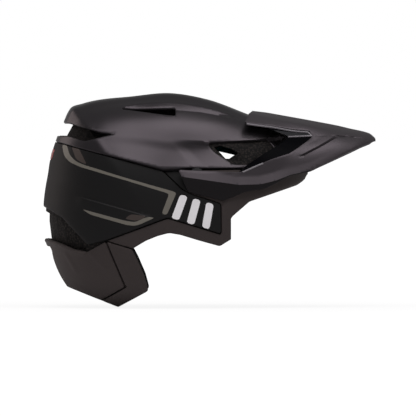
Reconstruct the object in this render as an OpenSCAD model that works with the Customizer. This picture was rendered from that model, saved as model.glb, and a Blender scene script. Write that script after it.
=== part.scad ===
// Open-face mountain bike helmet with deep ear and neck cover and a tilting visor.
// X points forward, Y to the wearer's left and Z up. The origin is the centre of the wearer's head.

/* [Shell] */
// Reach of the shell in front of the head centre
shell_front = 148; // [142:1:160]
// Reach of the shell behind the head centre
shell_rear = 139; // [134:1:150]
// Height of the crown above the head centre
shell_top = 121.5; // [116:0.5:130]
// Depth of the ear lobes below the head centre
shell_drop = 110; // [104:1:118]
// Half the width of the shell at the ears
shell_half_w = 107; // [104:1:114]
// Thickness of the moulded outer skins
skin_t = 2.2; // [1.6:0.1:3]
// Depth of the lower trim behind the face of the side wrap
trim_inset = 1.2; // [0.8:0.1:2]
// Width of the seams between the skins
seam = 0.8; // [0.4:0.1:1.6]
// Height of the two ridges along the crown
ridge_h = 2.6; // [1:0.1:4]
// Distance of each crown ridge from the centre line
ridge_y = 32; // [26:1:38]

/* [Vents] */
// Width of each intake vent above the brow
intake_w = 24; // [16:1:28]
// Height of each intake vent above the brow
intake_h = 17; // [12:1:20]
// Length of each slot in the top of the crown
top_slot_l = 38; // [28:1:46]
// Width of each slot in the top of the crown
top_slot_w = 12; // [8:1:14]
// Depth of the foam behind the skin at the upper rear vent
rear_recess = 8; // [5:1:12]
// Depth of the foam behind the skin at the nape vent
nape_recess = 4; // [3:0.5:8]
// Depth of the styling grooves in the crown and the visor
groove_depth = 1.2; // [0.6:0.1:1.6]

/* [Head space] */
// Reach of the foam's head space in front of the head centre
head_front = 104; // [98:1:107]
// Reach of the foam's head space behind the head centre
head_rear = 104; // [98:1:106]
// Half the width of the foam's head space
head_half_w = 82; // [78:1:84]
// Height of the foam's head space above the head centre
head_top = 88; // [84:1:91]
// Height at which the upper and the lower foam meet
foam_split = 14; // [10:1:18]
// Room around the slip liner, in which it can turn
slip_gap = 1.8; // [1.4:0.1:2.4]
// Thickness of the slip liner
slip_t = 1.2; // [0.8:0.1:1.6]
// Diameter of each rubber anchor behind the slip liner
anchor_d = 10; // [8:1:14]

/* [Pads] */
// Thickness of the pads of the slip liner
pad_t = 7; // [5:0.5:8]
// Thickness of the ear pads
ear_pad_t = 8; // [6:0.5:9]
// Thickness of the pads at the nape
nape_pad_t = 6; // [4:0.5:8]

/* [Visor] */
// Reach of the visor's tip in front of the head centre
visor_front = 218.7; // [205:1:230]
// Thickness of the visor
visor_t = 3.2; // [2.4:0.1:4]
// Distance of the visor's arms inside the widest part of the shell
visor_set_in = 1; // [0:0.1:1.2]
// Diameter of the visor's pivot pins
pivot_d = 8; // [6:0.5:10]
// Diameter of the ratchet disc round each pivot pin
ratchet_d = 16; // [14:1:18]
// Play of each pivot pin in the visor's arm, all round
pivot_play = 0.06; // [0.03:0.01:0.1]

/* [Fit dial] */
// Height of the dial's axis below the head centre
dial_drop = 66; // [64:1:70]
// Diameter of the dial
dial_d = 27; // [24:1:30]
// Number of ribs round the dial
dial_ribs = 24; // [16:1:32]
// Depth of the dial's knob
dial_depth = 8.5; // [7:0.5:10]
// Size of the pinion's teeth, as pitch diameter over number
tooth_module = 1; // [0.9:0.1:1.2]
// Number of teeth on the pinion
pinion_teeth = 10; // [9:1:12]
// Diameter of the dial's shaft
shaft_d = 4; // [3:0.5:5]
// Height of each toothed fit band
band_h = 6; // [5:0.5:7]
// Thickness of each fit band
band_t = 2.4; // [2:0.2:3]
// Travel of each fit band
band_travel = 9; // [7:0.5:10]
// Wall of the dial's housing
housing_wall = 1.8; // [1.4:0.1:2.4]
// Travel of the dial housing up and down from the middle
height_travel = 7; // [5:1:9]
// Width of the rail that the dial housing hangs on
rail_w = 14; // [12:1:18]
// Running clearance between sliding pieces
slide_gap = 0.35; // [0.3:0.05:0.5]

/* [Straps] */
// Width of the strap webbing
strap_w = 15; // [12:1:18]
// Thickness of the strap webbing
strap_t = 1.5; // [1.2:0.1:2]
// Length of the buckle's socket
socket_l = 24; // [20:1:30]
// Thickness of the buckle
buckle_t = 8; // [7:0.5:10]
// Length of the tongue's prongs inside the socket
prong_l = 14; // [10:1:16]
// Diameter of the rivets that hold the strap ends
rivet_d = 12; // [10:1:14]

/* [Hidden] */
$fn = 48;
tiny = 0.01;
clear = 0.3;

// The side view is drawn at these reaches, and at() stretches it to the shell's own
drawn_front = 148;
drawn_rear = 139;
drawn_top = 121.5;
drawn_drop = 110;
function at(p) = [
  p.x * (p.x > 0 ? shell_front / drawn_front : shell_rear / drawn_rear),
  p.y * (p.y > 0 ? shell_top / drawn_top : shell_drop / drawn_drop)
];
far = 165;

// Side profile of the shell, from the face opening over the crown and down the nape
ear = at([-2, -38]);
profile = [
  [141, -10], [148, 34], [141, 62], [118, 84], [79, 99.7], [37, 115], [-1, 121.4],
  [-46, 117.7], [-97, 110], [-110, 104.8], [-125, 71.5], [-131.4, 50], [-134.5, 31],
  [-138.8, -1.5], [-138.5, -20], [-135.5, -42], [-132, -60], [-118, -88], [-89, -115],
  [-48, -128], [0, -134], [62, -118], [112, -74]
];
fullness = 2.3;

// Outlines of the skins in the side view
wrap_outline = [
  [-far, 79.2], [-9.2, 37.6], [12, 17.3], [21.6, 13], [53, 2.7], [53.5, -30.2],
  [-4.3, -12.6], [-71.3, -37.5], [-91.3, -42.6], [-119.6, -12.6], [-138, -2.2], [-far, -1.6]
];
crown_outline = [
  [-far, 79.2], [-9.2, 37.6], [21.6, 39.4], [73, 40], [far, 37], [far, far], [-far, far]
];
brow_line = [
  [far, 34.5], [148, 33.5], [144.7, 27.5], [137.7, 22.7], [85.3, 5], [82, 2.2], [67, -10.8],
  [64.8, -14], [64.8, -36.5], [53, -43.8], [30.2, -37.5], [9.7, -31.3], [-2.7, -29.2],
  [-15.3, -32.5], [-27.8, -37.5], [-42.7, -46.4]
];
trim_outline = concat(
  [[-71.3, -37.5], [-4.3, -12.6], [53.5, -30.2], [53, 2.7], [21.6, 13], [12, 17.3],
   [-9.2, 37.6], [21.6, 39.4], [73, 40], [far, 37]],
  brow_line
);
lobe_front = [[-42.7, -46.4], [-37.3, -56.7], [-29.2, -75.6], [-25.3, -90.2], [-26, -93],
  [-57.6, -110.2], [-76.4, -102.8]];
ear_outline = concat([[-71.3, -37.5]], lobe_front, [[-50, -87.5]]);
neck_outline = [
  [-71.3, -37.5], [-50, -87.5], [-76.4, -102.8], [-114.5, -88], [-far, -84], [-far, -35],
  [-134, -35.6], [-119.9, -40.5], [-105.8, -46.4], [-91.3, -49.2]
];
foam_outline = concat([[-far, far], [far, far]], brow_line, lobe_front,
  [[-114.5, -88], [-far, -82]]);

// Outlines of the openings in the side view
rear_vent = [[-far, 91], [-112, 90.4], [-77.4, 78.8], [-63, 77], [-93.5, 69.4], [-111, 74.7], [-far, 76]];
side_slot = [[-53.5, 103.9], [3.7, 105.8], [4, 95.8], [-6.7, 96.7], [-51.8, 102.6]];
side_vent = [[40, 66.5], [46.4, 59.4], [59.4, 50.2], [66, 44.6], [95, 44.4], [116, 58], [106, 71.5],
  [41, 68]];
slot_channel = [[-53.5, 104.2], [-22.7, 109.8], [5.4, 110.2], [30.2, 105.8], [57.2, 98.7], [69, 94],
  [30.2, 100.4], [5.4, 104]];
side_groove = [[0.8, 69.8], [40, 70], [92, 73.5], [106, 73], [106, 71.5], [41, 68], [38, 66.8]];
vent_throat = [[46.5, 62], [52, 64], [63, 61.2], [71, 56], [62, 49.6], [58, 49.6]];
vent_hole = [[48.6, 58.6], [67.5, 54.2], [67, 46], [50, 46]];
low_vent = [[-far, -4], [-137, -6], [-120.9, -13.5], [-112.9, -27], [-94, -43.5], [-91, -47],
  [-105.8, -46.4], [-119.9, -40.5], [-134, -35.6], [-far, -35]];
slot_y = 42;
vent_y = 30;
intake_y = 10;
intake_z = 62;
top_slot_y = 14;
throat_y = 76;
top_slots = [-52, 8];
notch_half_w = 35;

// Depths of the layers below the shell's face
foam_t = skin_t + clear;
slip_in = slip_gap + slip_t;
pad_in = slip_in + clear;

// Visor, in the side view
pivot = at([27, 32.4]);
visor_outline = [
  [78.4, 93], [82.6, 99.1], [86.1, 101.5], [213.4, 78.4], [218.7, 71.6], [214.9, 67.5],
  [148.7, 36.5], [127.4, 32.4], [112.9, 24.8], [100.4, 18.4], [78.8, 15.1], [55, 5.4],
  [40, 9.1], [17.3, 15.1], [7, 38.9], [71.3, 36.2], [76.7, 37.3], [89.6, 43.2],
  [105.8, 50.3], [126.4, 57.9], [151.2, 78.5], [147.3, 82.6], [79.8, 91.6]
];
visor_reach = visor_front / 218.7;
visor_half_w = shell_half_w - visor_set_in;
// Stations of the visor: reach, height of its top, share of its half width
visor_stations = [
  [222, 71, 0.42], [213, 77.6, 0.49], [190, 82.2, 0.61], [150, 89.8, 0.745], [110, 97, 0.84],
  [80, 102.6, 0.93], [60, 105, 0.978], [45, 107, 1], [0, 108, 1]
];
visor_hem = 40;
visor_fullness = 2.6;
visor_nose_r = 110;
visor_face_t = 1.2;

// Fit dial
pitch_r = tooth_module * pinion_teeth / 2;
addendum = 0.9 * tooth_module;
dedendum = 1.15 * tooth_module;
dial_z = -dial_drop;
rack_x = -head_rear - 2;
housing_x = rack_x - band_t / 2 - slide_gap - housing_wall;
housing_depth = band_t + 2 * slide_gap + 2 * housing_wall;
rack_tip = pitch_r - addendum;
rack_back = rack_tip + band_h;
housing_half_w = band_travel + 5;
housing_half_h = rack_back + slide_gap + housing_wall;
notch_top = dial_z + max(dial_d / 2, housing_half_h) + height_travel + 1;
rail_x = -head_rear + clear;
rail_t = 2;
stem_t = 1.8;
stem_w = rail_w - 2 * rail_t - 2 * slide_gap;
yoke_top = dial_z + housing_half_h + 1;
rail_from = yoke_top + height_travel + clear;
rail_to = -8;
knob_x = housing_x - clear - dial_depth;

// Straps on the left side, as points along the middle of the webbing
front_strap_route = [[20, 76.6, -14], [4, 77.5, -16], [-14, 76.8, -19], [-32, 73.4, -26], [-46, 67, -35],
  [-54, 60.5, -44], [-59, 53, -52], [-61, 49.6, -56.5], [-61, 49.4, -58.8], [-61, 49.4, -63.8]];
rear_strap_route = [[-66, 60.3, -28], [-66.5, 57.5, -35], [-66.3, 51.6, -43], [-64.5, 47.8, -50.5],
  [-62, 47.3, -55.5], [-62, 47.2, -58.5], [-62, 47, -63.8]];
chin_strap_route = [[-61.5, 48, -65.4], [-61, 47.5, -73], [-60, 44, -82], [-58.5, 37, -90.5],
  [-57, 29, -95.5], [-56, 23.5, -97], [-56, 15.5, -97]];
// Way that each end of the webbing faces
beside = [0, 1, 0];
nape_wall = [-0.51, 0.86, 0];
below_chin = [0, -0.02, -1];
tongue_l = 6;
buckle_half_l = (socket_l + tongue_l + clear) / 2;
buckle_at = [-56, 0, -97];
divider_at = [-61.5, 48, -64.5];
keeper_y = 19.5;

// Closed solid through a row of rings, each seen counter-clockwise from the first ring's end
module loft(rings) {
  n = len(rings[0]);
  m = len(rings);
  polyhedron(
    [for (r = rings) each r],
    concat(
      [[for (i = [n - 1:-1:0]) i]],
      [for (j = [0:m - 2]) for (i = [0:n - 1]) each [
        [j * n + i, j * n + (i + 1) % n, (j + 1) * n + i],
        [(j + 1) * n + i, j * n + (i + 1) % n, (j + 1) * n + (i + 1) % n]
      ]],
      [[for (i = [0:n - 1]) (m - 1) * n + i]]
    )
  );
}

// A freeform skin or foam, cut to shape as one mesh
module moulded() resize([0, 0, 0]) children();

module left_only(side) mirror([0, side < 0 ? 1 : 0, 0]) children();

// Reach of the profile from the ear, by direction
knots = [for (p = profile) let (q = at(p) - ear) [(atan2(q.y, q.x) + 360) % 360, norm(q)]];
function knot(i) = let (
  n = len(knots),
  k = floor(i / n),
  q = knots[i - n * k]
) [q[0] + 360 * k, q[1]];
function slope(i) = (knot(i + 1)[1] - knot(i - 1)[1]) / (knot(i + 1)[0] - knot(i - 1)[0]);
function stretch(a, i = 0) = i >= len(knots) - 1 || a < knots[i + 1][0] ? i : stretch(a, i + 1);
function hermite(p, q, mp, mq, h, t) =
  (2 * t ^ 3 - 3 * t ^ 2 + 1) * p + (t ^ 3 - 2 * t ^ 2 + t) * h * mp +
  (3 * t ^ 2 - 2 * t ^ 3) * q + (t ^ 3 - t ^ 2) * h * mq;
function reach(a) = let (
  b = a < knots[0][0] ? a + 360 : a,
  i = stretch(b),
  h = knot(i + 1)[0] - knot(i)[0]
) hermite(knot(i)[1], knot(i + 1)[1], slope(i), slope(i + 1), h, (b - knot(i)[0]) / h);

// Height of the crown's ridges, by direction and by distance from the centre line
ridge_from = 42;
ridge_to = 142;
ridge_half_w = 9;
function ridge(a, y) =
  a < ridge_from || a > ridge_to ? 0 :
  ridge_h * sin(180 * (a - ridge_from) / (ridge_to - ridge_from)) ^ 0.5 *
  (exp(-((abs(y) - ridge_y) / ridge_half_w) ^ 2) - 0.35 * exp(-(y / ridge_half_w) ^ 2));

// The shell's face, moved inward by the depth t
across = [0.997, 0.975, 0.92, 0.83, 0.71, 0.57, 0.43, 0.3, 0.18];
rows = concat([for (s = across) -s], [0], [for (i = [len(across) - 1:-1:0]) across[i]]);
turns = 40;
function face(a, s, t) = let (
  c = (1 - abs(s) ^ fullness) ^ (1 / fullness),
  y = s * (shell_half_w - t),
  r = c * (reach(a) - t + ridge(a, y))
) [ear.x + r * cos(a), y, ear.y + r * sin(a)];
module face_form(t) loft([for (s = rows) [for (i = [0:turns - 1]) face(i * 360 / turns, s, t)]]);

// The head space, moved inward by the depth t
head_fullness = 2.2;
head_turns = 32;
head_rise = [0.995, 0.95, 0.86, 0.74, 0.58, 0.4, 0.2, 0];
head_fall = [-35, -60, -85, -110, -150];
nape_taper = 0.13;
side_taper = 0.11;
function head_levels(t) = concat(head_rise * (head_top - t), head_fall);
function head_curve(a, z, t) = let (
  f = z > 0 ? (1 - (z / (head_top - t)) ^ head_fullness) ^ (1 / head_fullness) : 1,
  low = z < 0 ? (z / drawn_drop) ^ 2 : 0,
  c = cos(a),
  s = sin(a),
  length = c > 0 ? head_front - t : (head_rear - t) * (1 - nape_taper * low)
) [
  sign(c) * abs(c) ^ (2 / head_fullness) * f * length,
  sign(s) * abs(s) ^ (2 / head_fullness) * f * (head_half_w - t) * (1 - side_taper * low),
  z
];
module head_form(t) loft([
  for (z = head_levels(t)) [for (i = [0:head_turns - 1]) head_curve(i * 360 / head_turns, z, t)]
]);

// A point on the facets of the head space
function mix(p, q, f) = p + (q - p) * f;
function head_chord(a, z, t) = let (
  step = 360 / head_turns,
  i = floor(a / step)
) mix(head_curve(i * step, z, t), head_curve((i + 1) * step, z, t), a / step - i);
function head_point(a, z, t) = let (
  rows = head_levels(t),
  j = max([for (i = [0:len(rows) - 2]) rows[i] >= z ? i : 0])
) mix(head_chord(a, rows[j], t), head_chord(a, rows[j + 1], t), (rows[j] - z) / (rows[j] - rows[j + 1]));

// Prism across the helmet from an outline in the side view
module side_prism(outline, inset = 0) rotate([90, 0, 0])
  linear_extrude(2 * (shell_half_w + 30), center = true)
    offset(delta = -inset) polygon([for (p = outline) at(p)]);

// The same prism on both sides only, from the distance y outward
module twin_prism(outline, y, inset = 0) difference() {
  side_prism(outline, inset);
  cube([3 * far, 2 * y, 3 * far], center = true);
}

module skin(t = 0) difference() {
  face_form(t);
  face_form(t + skin_t);
}

// Cut from the outside down to a depth below the face
module recess(outline, y, depth) difference() {
  twin_prism(outline, y);
  face_form(depth);
}

// Openings through the crown and the foam under it
module intakes() for (side = [-1, 1])
  translate([shell_front / 2, side * (intake_y + intake_w / 2), intake_z + intake_h / 2])
    rotate([90, 0, 90]) linear_extrude(shell_front)
      offset(4) square([intake_w - 8, intake_h - 8], center = true);

module top_slot_pair(x) for (side = [-1, 1]) hull() for (dx = [0, top_slot_l - top_slot_w])
  translate([x + dx, side * top_slot_y, head_top / 2]) cylinder(h = shell_top, d = top_slot_w, $fn = 16);

module vents() {
  twin_prism(side_slot, slot_y);
  intakes();
  for (x = top_slots) top_slot_pair(x);
}

// The side vents narrow through the foam from the shell's opening to a throat
module vent_funnels() {
  for (side = [-1, 1]) left_only(side) hull() {
    side_slab(side_vent, shell_half_w - 20, shell_half_w);
    side_slab(vent_throat, throat_y, throat_y + 1);
  }
  twin_prism(vent_throat, vent_y);
}
module side_slab(outline, from, to) translate([0, to, 0]) rotate([90, 0, 0])
  linear_extrude(to - from) polygon([for (p = outline) at(p)]);

// Room for the fit dial in the neck's lower edge
module dial_notch() translate([-far, 0, 0]) rotate([90, 0, 90]) linear_extrude(far - 60)
  offset(8) offset(delta = -8) translate([-notch_half_w, notch_top - far]) square([2 * notch_half_w, far]);

module pivot_bore(d, from, to) for (side = [-1, 1])
  translate([pivot.x, side * from, pivot.y]) rotate([-90 * side, 0, 0]) cylinder(h = to - from, d = d);

// Height of the shell's face at a place in the side view
function face_y(p, t) = let (
  q = p - ear,
  c = norm(q) / (reach((atan2(q.y, q.x) + 360) % 360) - t)
) (shell_half_w - t) * (1 - c ^ fullness) ^ (1 / fullness);

module crown_shell() color([0.16, 0.15, 0.16]) moulded() difference() {
  intersection() {
    skin();
    side_prism(crown_outline, seam / 2);
  }
  side_prism(rear_vent);
  recess(slot_channel, slot_y, groove_depth);
  recess(side_groove, slot_y, groove_depth);
  twin_prism(side_vent, vent_y);
  vents();
}

module side_wrap_shell() color([0.11, 0.1, 0.11]) moulded() difference() {
  intersection() {
    skin();
    side_prism(wrap_outline, seam / 2);
  }
  reflector_seat(clear);
}

module lower_trim() color([0.21, 0.18, 0.18]) difference() {
  moulded() intersection() {
    skin(trim_inset);
    side_prism(trim_outline, seam / 2);
  }
  pivot_bore(pivot_d + 2 * pivot_play, head_half_w, shell_half_w);
}

module neck_shell() color([0.21, 0.19, 0.19]) moulded() difference() {
  intersection() {
    skin();
    side_prism(neck_outline, seam / 2);
  }
  dial_notch();
}

module ear_cover(side) color([0.18, 0.16, 0.16]) left_only(side) moulded() intersection() {
  skin();
  side_prism(ear_outline, seam / 2);
  translate([-far, 0, -far]) cube(2 * far);
}
module ear_cover_left() ear_cover(1);
module ear_cover_right() ear_cover(-1);

// Reflector that is let into the rear of the side wrap
reflector_w = 46;
reflector_h = 11;
reflector_z = 55;
module reflector_seat(gap) translate([-shell_rear - 10, 0, reflector_z]) rotate([90, 0, 90])
  linear_extrude(40) offset(reflector_h / 2 - 1 + gap)
    square([reflector_w - reflector_h + 2, 2], center = true);
module rear_reflector() color([0.7, 0.1, 0.08]) moulded() intersection() {
  skin(-0.4);
  reflector_seat(0);
}

// Foam
module foam() difference() {
  intersection() {
    face_form(foam_t);
    side_prism(foam_outline, 1.2);
  }
  head_form(0);
}
module foam_bound(from, to) translate([-far, -far, from]) cube([2 * far, 2 * far, to - from]);

module liner_upper() color([0.1, 0.1, 0.1]) difference() {
  moulded() difference() {
    intersection() {
      foam();
      foam_bound(foam_split, far);
    }
    trim_band();
    vents();
    vent_funnels();
    recess(rear_vent, 0, foam_t + rear_recess);
  }
  pivot_bore(pivot_d + 2 * pivot_play, pin_from - clear, shell_half_w);
  slip_anchor_seats();
}

module liner_lower() color([0.12, 0.11, 0.11]) difference() {
  moulded() difference() {
    intersection() {
      foam();
      foam_bound(-far, foam_split - clear);
    }
    trim_band();
    recess(low_vent, 0, foam_t + nape_recess);
    dial_notch();
    translate([rail_x - clear, -rail_w / 2 - clear, notch_top - 1])
      cube([head_rear, rail_w + 2 * clear, rail_to - notch_top + 1 + clear]);
  }
  rivet_shanks(0.1);
}

// The foam steps in behind the trim
module trim_band() difference() {
  side_prism(trim_outline, -seam);
  face_form(foam_t + trim_inset);
}

module slip_liner() color([0.05, 0.2, 0.2]) moulded() difference() {
  intersection() {
    difference() {
      head_form(slip_gap);
      head_form(slip_in);
    }
    foam_bound(foam_split + 2, far);
    side_prism(foam_outline, 3);
  }
  twin_prism(vent_hole, vent_y);
  vents();
}

// Rubber anchors that the slip liner hangs on, at the brow, the nape and over each ear
anchor_z = 24;
function anchor_reach(a) = let (z = anchor_z - anchor_d / 2)
  norm(head_point(a, z, slip_gap) - [0, 0, z]) + clear;
module slip_anchor(a, grow, length) translate([0, 0, anchor_z]) rotate([0, 90, a])
  translate([0, 0, anchor_reach(a)]) cylinder(h = length, d = anchor_d + 2 * grow);
anchor_places = [0, 90, 180, 270];
anchor_l = 5;
module slip_anchors() color([0.25, 0.05, 0.05]) for (a = anchor_places) slip_anchor(a, 0, anchor_l);
module slip_anchor_seats() for (a = anchor_places) slip_anchor(a, 0.2, anchor_l + clear);

// Pads lie on the head space, thickest in the middle, drawn in at the edge and at sewn channels
pad_edge = 1.6;
function drawn_in(u) = max(0, 1 - abs(2 * u - 1) ^ 3.5) ^ 0.55;
function channel(u, n) = let (
  v = u * (n + 1),
  k = round(v)
) k > 0 && k < n + 1 ? 1 - 0.35 * max(0, 1 - abs(v - k) / 0.16) : 1;
module head_pad(a0, a1, z0, z1, back, thick, channels = 0, along = 12, up = 5) {
  function zed(v) = z0 + (z1 - z0) * v;
  function edge(v) = pad_edge * (0.6 + 0.4 * drawn_in(v));
  function crown(u, v) = drawn_in(u) * drawn_in(v) * channel(u, channels);
  function inner(u, v) = back + edge(v) + (thick - pad_edge) * crown(u, v);
  function pull(u, v) = 0.5 + (v - 0.5) * (0.72 + 0.28 * drawn_in(u));
  loft([for (i = [0:along]) let (u = i / along, a = a0 + (a1 - a0) * u) concat(
    [for (j = [0:up]) head_point(a, zed(pull(u, j / up)), back)],
    [for (j = [up:-1:0]) head_point(a, zed(pull(u, j / up)), inner(u, j / up))]
  )]);
}
module brow_pad() color([0.13, 0.12, 0.12]) head_pad(-50, 50, 30, 50, pad_in, pad_t, 3, 20);
module crown_pads() color([0.13, 0.12, 0.12]) for (a = [0, 90, 180, 270])
  head_pad(a - 22, a + 22, 62, 79, pad_in, pad_t * 0.8, 0, 8, 4);
module side_pad(side) color([0.13, 0.12, 0.12]) left_only(side) head_pad(66, 120, 20, 38, pad_in, pad_t, 1);
module side_pad_left() side_pad(1);
module side_pad_right() side_pad(-1);
module ear_pad(side) color([0.13, 0.12, 0.12]) left_only(side)
  head_pad(110, 134, -97, -57, clear, ear_pad_t, 0, 10, 7);
module ear_pad_left() ear_pad(1);
module ear_pad_right() ear_pad(-1);
module nape_pads() color([0.13, 0.12, 0.12]) for (side = [-1, 1])
  left_only(side) head_pad(151, 170, -34, -8, clear, nape_pad_t, 0, 8, 4);

// Visor
function visor_ring(k, t) = let (
  b = visor_half_w * k[2] - t,
  h = k[1] - t - visor_hem
) concat(
  [for (i = [0:16]) let (
    g = i * 180 / 16,
    c = cos(g)
  ) [
    k[0] * visor_reach,
    sign(c) * abs(c) ^ (2 / visor_fullness) * b,
    visor_hem + h * sin(g) ^ (2 / visor_fullness)
  ]],
  [[k[0] * visor_reach, -b, -20], [k[0] * visor_reach, b, -20]]
);
module visor_form(t, grow = 0) loft([
  for (k = visor_stations)
    let (e = k[0] >= 222 ? grow : k[0] <= 0 ? -grow : 0)
      [for (p = visor_ring(k, t)) p + [e, 0, 0]]
]);
module visor_plan() linear_extrude(3 * far, center = true) {
  translate([visor_front - visor_nose_r, 0]) circle(visor_nose_r, $fn = 96);
  translate([-far, -far]) square([far + visor_front - visor_nose_r, 2 * far]);
}
visor_groove = [[135.2, 53.4], [137.2, 51.6], [178, 72.2], [184.6, 72.4], [187.9, 75.1], [175.6, 75.4]];
module visor_prism(outline) rotate([90, 0, 0]) linear_extrude(3 * far, center = true)
  polygon([for (p = outline) [p.x * (p.x > 80 ? visor_reach : 1), p.y]]);
module visor() color([0.13, 0.12, 0.13]) difference() {
  moulded() intersection() {
    difference() {
      visor_form(0);
      visor_form(visor_t, 5);
      difference() {
        visor_prism(visor_groove);
        visor_form(groove_depth, 5);
      }
    }
    visor_prism(visor_outline);
    visor_plan();
  }
  pivot_bore(pivot_d + 2 * pivot_play, visor_half_w - visor_t - 5, visor_half_w - visor_face_t);
}

// The pins run from the upper foam through the trim into the visor's arms
pin_from = head_half_w + 4;
module visor_pin(side) color([0.3, 0.3, 0.3]) left_only(side) translate([pivot.x, pin_from, pivot.y])
  rotate([-90, 0, 0]) cylinder(h = visor_half_w - visor_face_t - clear - pin_from, d = pivot_d);
module visor_pin_left() visor_pin(1);
module visor_pin_right() visor_pin(-1);

// Each disc fills the gap between the trim and the visor's arm
disc_from = face_y(pivot - [0, ratchet_d / 2 + 1], trim_inset) + clear;
disc_t = visor_half_w - visor_t - clear - disc_from;
module ratchet_disc(side) color([0.2, 0.2, 0.2]) left_only(side) translate([pivot.x, 0, pivot.y])
  rotate([-90, 0, 0]) difference() {
    translate([0, 0, disc_from]) {
      cylinder(h = disc_t, d = ratchet_d);
      for (i = [0:17]) rotate(i * 20) translate([ratchet_d / 2, 0]) cylinder(h = disc_t, d = 1.6, $fn = 16);
    }
    translate([0, 0, disc_from - 1]) cylinder(h = disc_t + 2, d = pivot_d + 2 * pivot_play);
  }
module ratchet_disc_left() ratchet_disc(1);
module ratchet_disc_right() ratchet_disc(-1);

// Fit dial
module height_rail() color([0.16, 0.16, 0.17]) difference() {
  translate([rail_x, -rail_w / 2, rail_from])
    cube([rail_t + stem_t + 2 * slide_gap, rail_w, rail_to - rail_from]);
  translate([rail_x + rail_t, -rail_w / 2 + rail_t, rail_from - 1])
    cube([stem_t + 2 * slide_gap + 1, rail_w - 2 * rail_t, rail_to - rail_from - rail_t + 1]);
  for (z = [rail_from + 5:6:rail_to - 6]) translate([rail_x - 1, 0, z])
    rotate([0, 90, 0]) cylinder(h = rail_t + 2, d = 3);
}

module rounded_bar(size, r) linear_extrude(size.z)
  offset(r) square([size.x - 2 * r, size.y - 2 * r], center = true);

stem_x = rail_x + rail_t + slide_gap;
stem_top = rail_to - rail_t - height_travel - clear;
module dial_housing() color([0.14, 0.14, 0.15]) difference() {
  union() {
    translate([housing_x, 0, dial_z]) rotate([90, 0, 90])
      rounded_bar([2 * housing_half_w, 2 * housing_half_h, housing_depth - housing_wall], 4);
    translate([stem_x, -stem_w / 2, yoke_top - 3]) cube([stem_t, stem_w, stem_top - yoke_top + 3]);
    translate([housing_x, -stem_w / 2, yoke_top - 3]) cube([stem_x + stem_t - housing_x, stem_w, 3]);
  }
  translate([housing_x + housing_wall, -housing_half_w - 1, dial_z - rack_back - slide_gap])
    cube([housing_depth - 2 * housing_wall + tiny, 2 * housing_half_w + 2, 2 * (rack_back + slide_gap)]);
  translate([housing_x - 1, 0, dial_z]) rotate([0, 90, 0])
    cylinder(h = housing_wall + 2, d = shaft_d + 2 * pivot_play);
}

module housing_cover() color([0.17, 0.17, 0.18])
  translate([housing_x + housing_depth - housing_wall, 0, dial_z]) rotate([90, 0, 90])
    linear_extrude(housing_wall) intersection() {
      offset(4) square([2 * housing_half_w - 8, 2 * housing_half_h - 8], center = true);
      square([2 * housing_half_w, 2 * (yoke_top - 3 - clear - dial_z)], center = true);
    }

module dial_knob() color([0.22, 0.21, 0.22]) translate([knob_x, 0, dial_z]) rotate([0, 90, 0]) {
  difference() {
    union() {
      cylinder(h = dial_depth, d = dial_d - 1.6);
      for (i = [0:dial_ribs - 1]) rotate(i * 360 / dial_ribs) translate([dial_d / 2 - 0.8, 0, 0])
        cylinder(h = dial_depth, d = 1.6, $fn = 16);
    }
    translate([0, 0, -1]) cylinder(h = 3, d = dial_d - 8);
  }
  translate([0, 0, dial_depth - tiny]) cylinder(h = clear + housing_wall + slide_gap - clear, d = shaft_d);
}

// Straight-sided teeth, cut slim so that pinion and racks run free
tooth_pitch = PI * tooth_module;
tooth_lean = 20;
tooth_half = tooth_pitch / 4 - 0.12 * tooth_module;
pinion_tooth_half = tooth_half - 0.14 * tooth_module;
function tooth(half, up, down) = [
  [-half - down * tan(tooth_lean), -down], [half + down * tan(tooth_lean), -down],
  [half - up * tan(tooth_lean), up], [-half + up * tan(tooth_lean), up]
];
module drive_pinion() color([0.8, 0.78, 0.7]) translate([rack_x - band_t / 2, 0, dial_z])
  rotate([90, 0, 90]) linear_extrude(band_t) {
    circle(r = pitch_r - dedendum);
    for (i = [0:pinion_teeth - 1]) rotate(i * 360 / pinion_teeth) translate([0, pitch_r])
      polygon(tooth(pinion_tooth_half, addendum, dedendum + 0.3));
  }

// Each band is a rack in the housing and a curved arm along the nape
rack_from = -4;
rack_to = housing_half_w + band_travel;
arm_route = [[rack_x, rack_to + 1], [rack_x + 5, rack_to + 5.5], [rack_x + 16, rack_to + 8.5],
  [rack_x + 24, rack_to + 14.5], [rack_x + 30, rack_to + 20.5]];
module rack_gap() translate([0, pitch_r])
  polygon(tooth(tooth_pitch / 2 - tooth_half, dedendum, addendum + 1));
module fit_band(side) color([0.18, 0.18, 0.19]) translate([0, 0, dial_z]) rotate([side < 0 ? 180 : 0, 0, 0]) {
  translate([rack_x - band_t / 2, 0, 0]) rotate([90, 0, 90]) linear_extrude(band_t) difference() {
    translate([rack_from, rack_tip]) square([rack_to - rack_from, band_h]);
    for (y = [-tooth_pitch:tooth_pitch:band_travel + pitch_r]) translate([y, 0]) rack_gap();
  }
  translate([0, 0, rack_tip]) linear_extrude(band_h) for (i = [0:len(arm_route) - 2]) hull() {
    translate(arm_route[i]) circle(d = band_t, $fn = 16);
    translate(arm_route[i + 1]) circle(d = band_t, $fn = 16);
  }
}
module fit_band_left() fit_band(1);
module fit_band_right() fit_band(-1);

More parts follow.
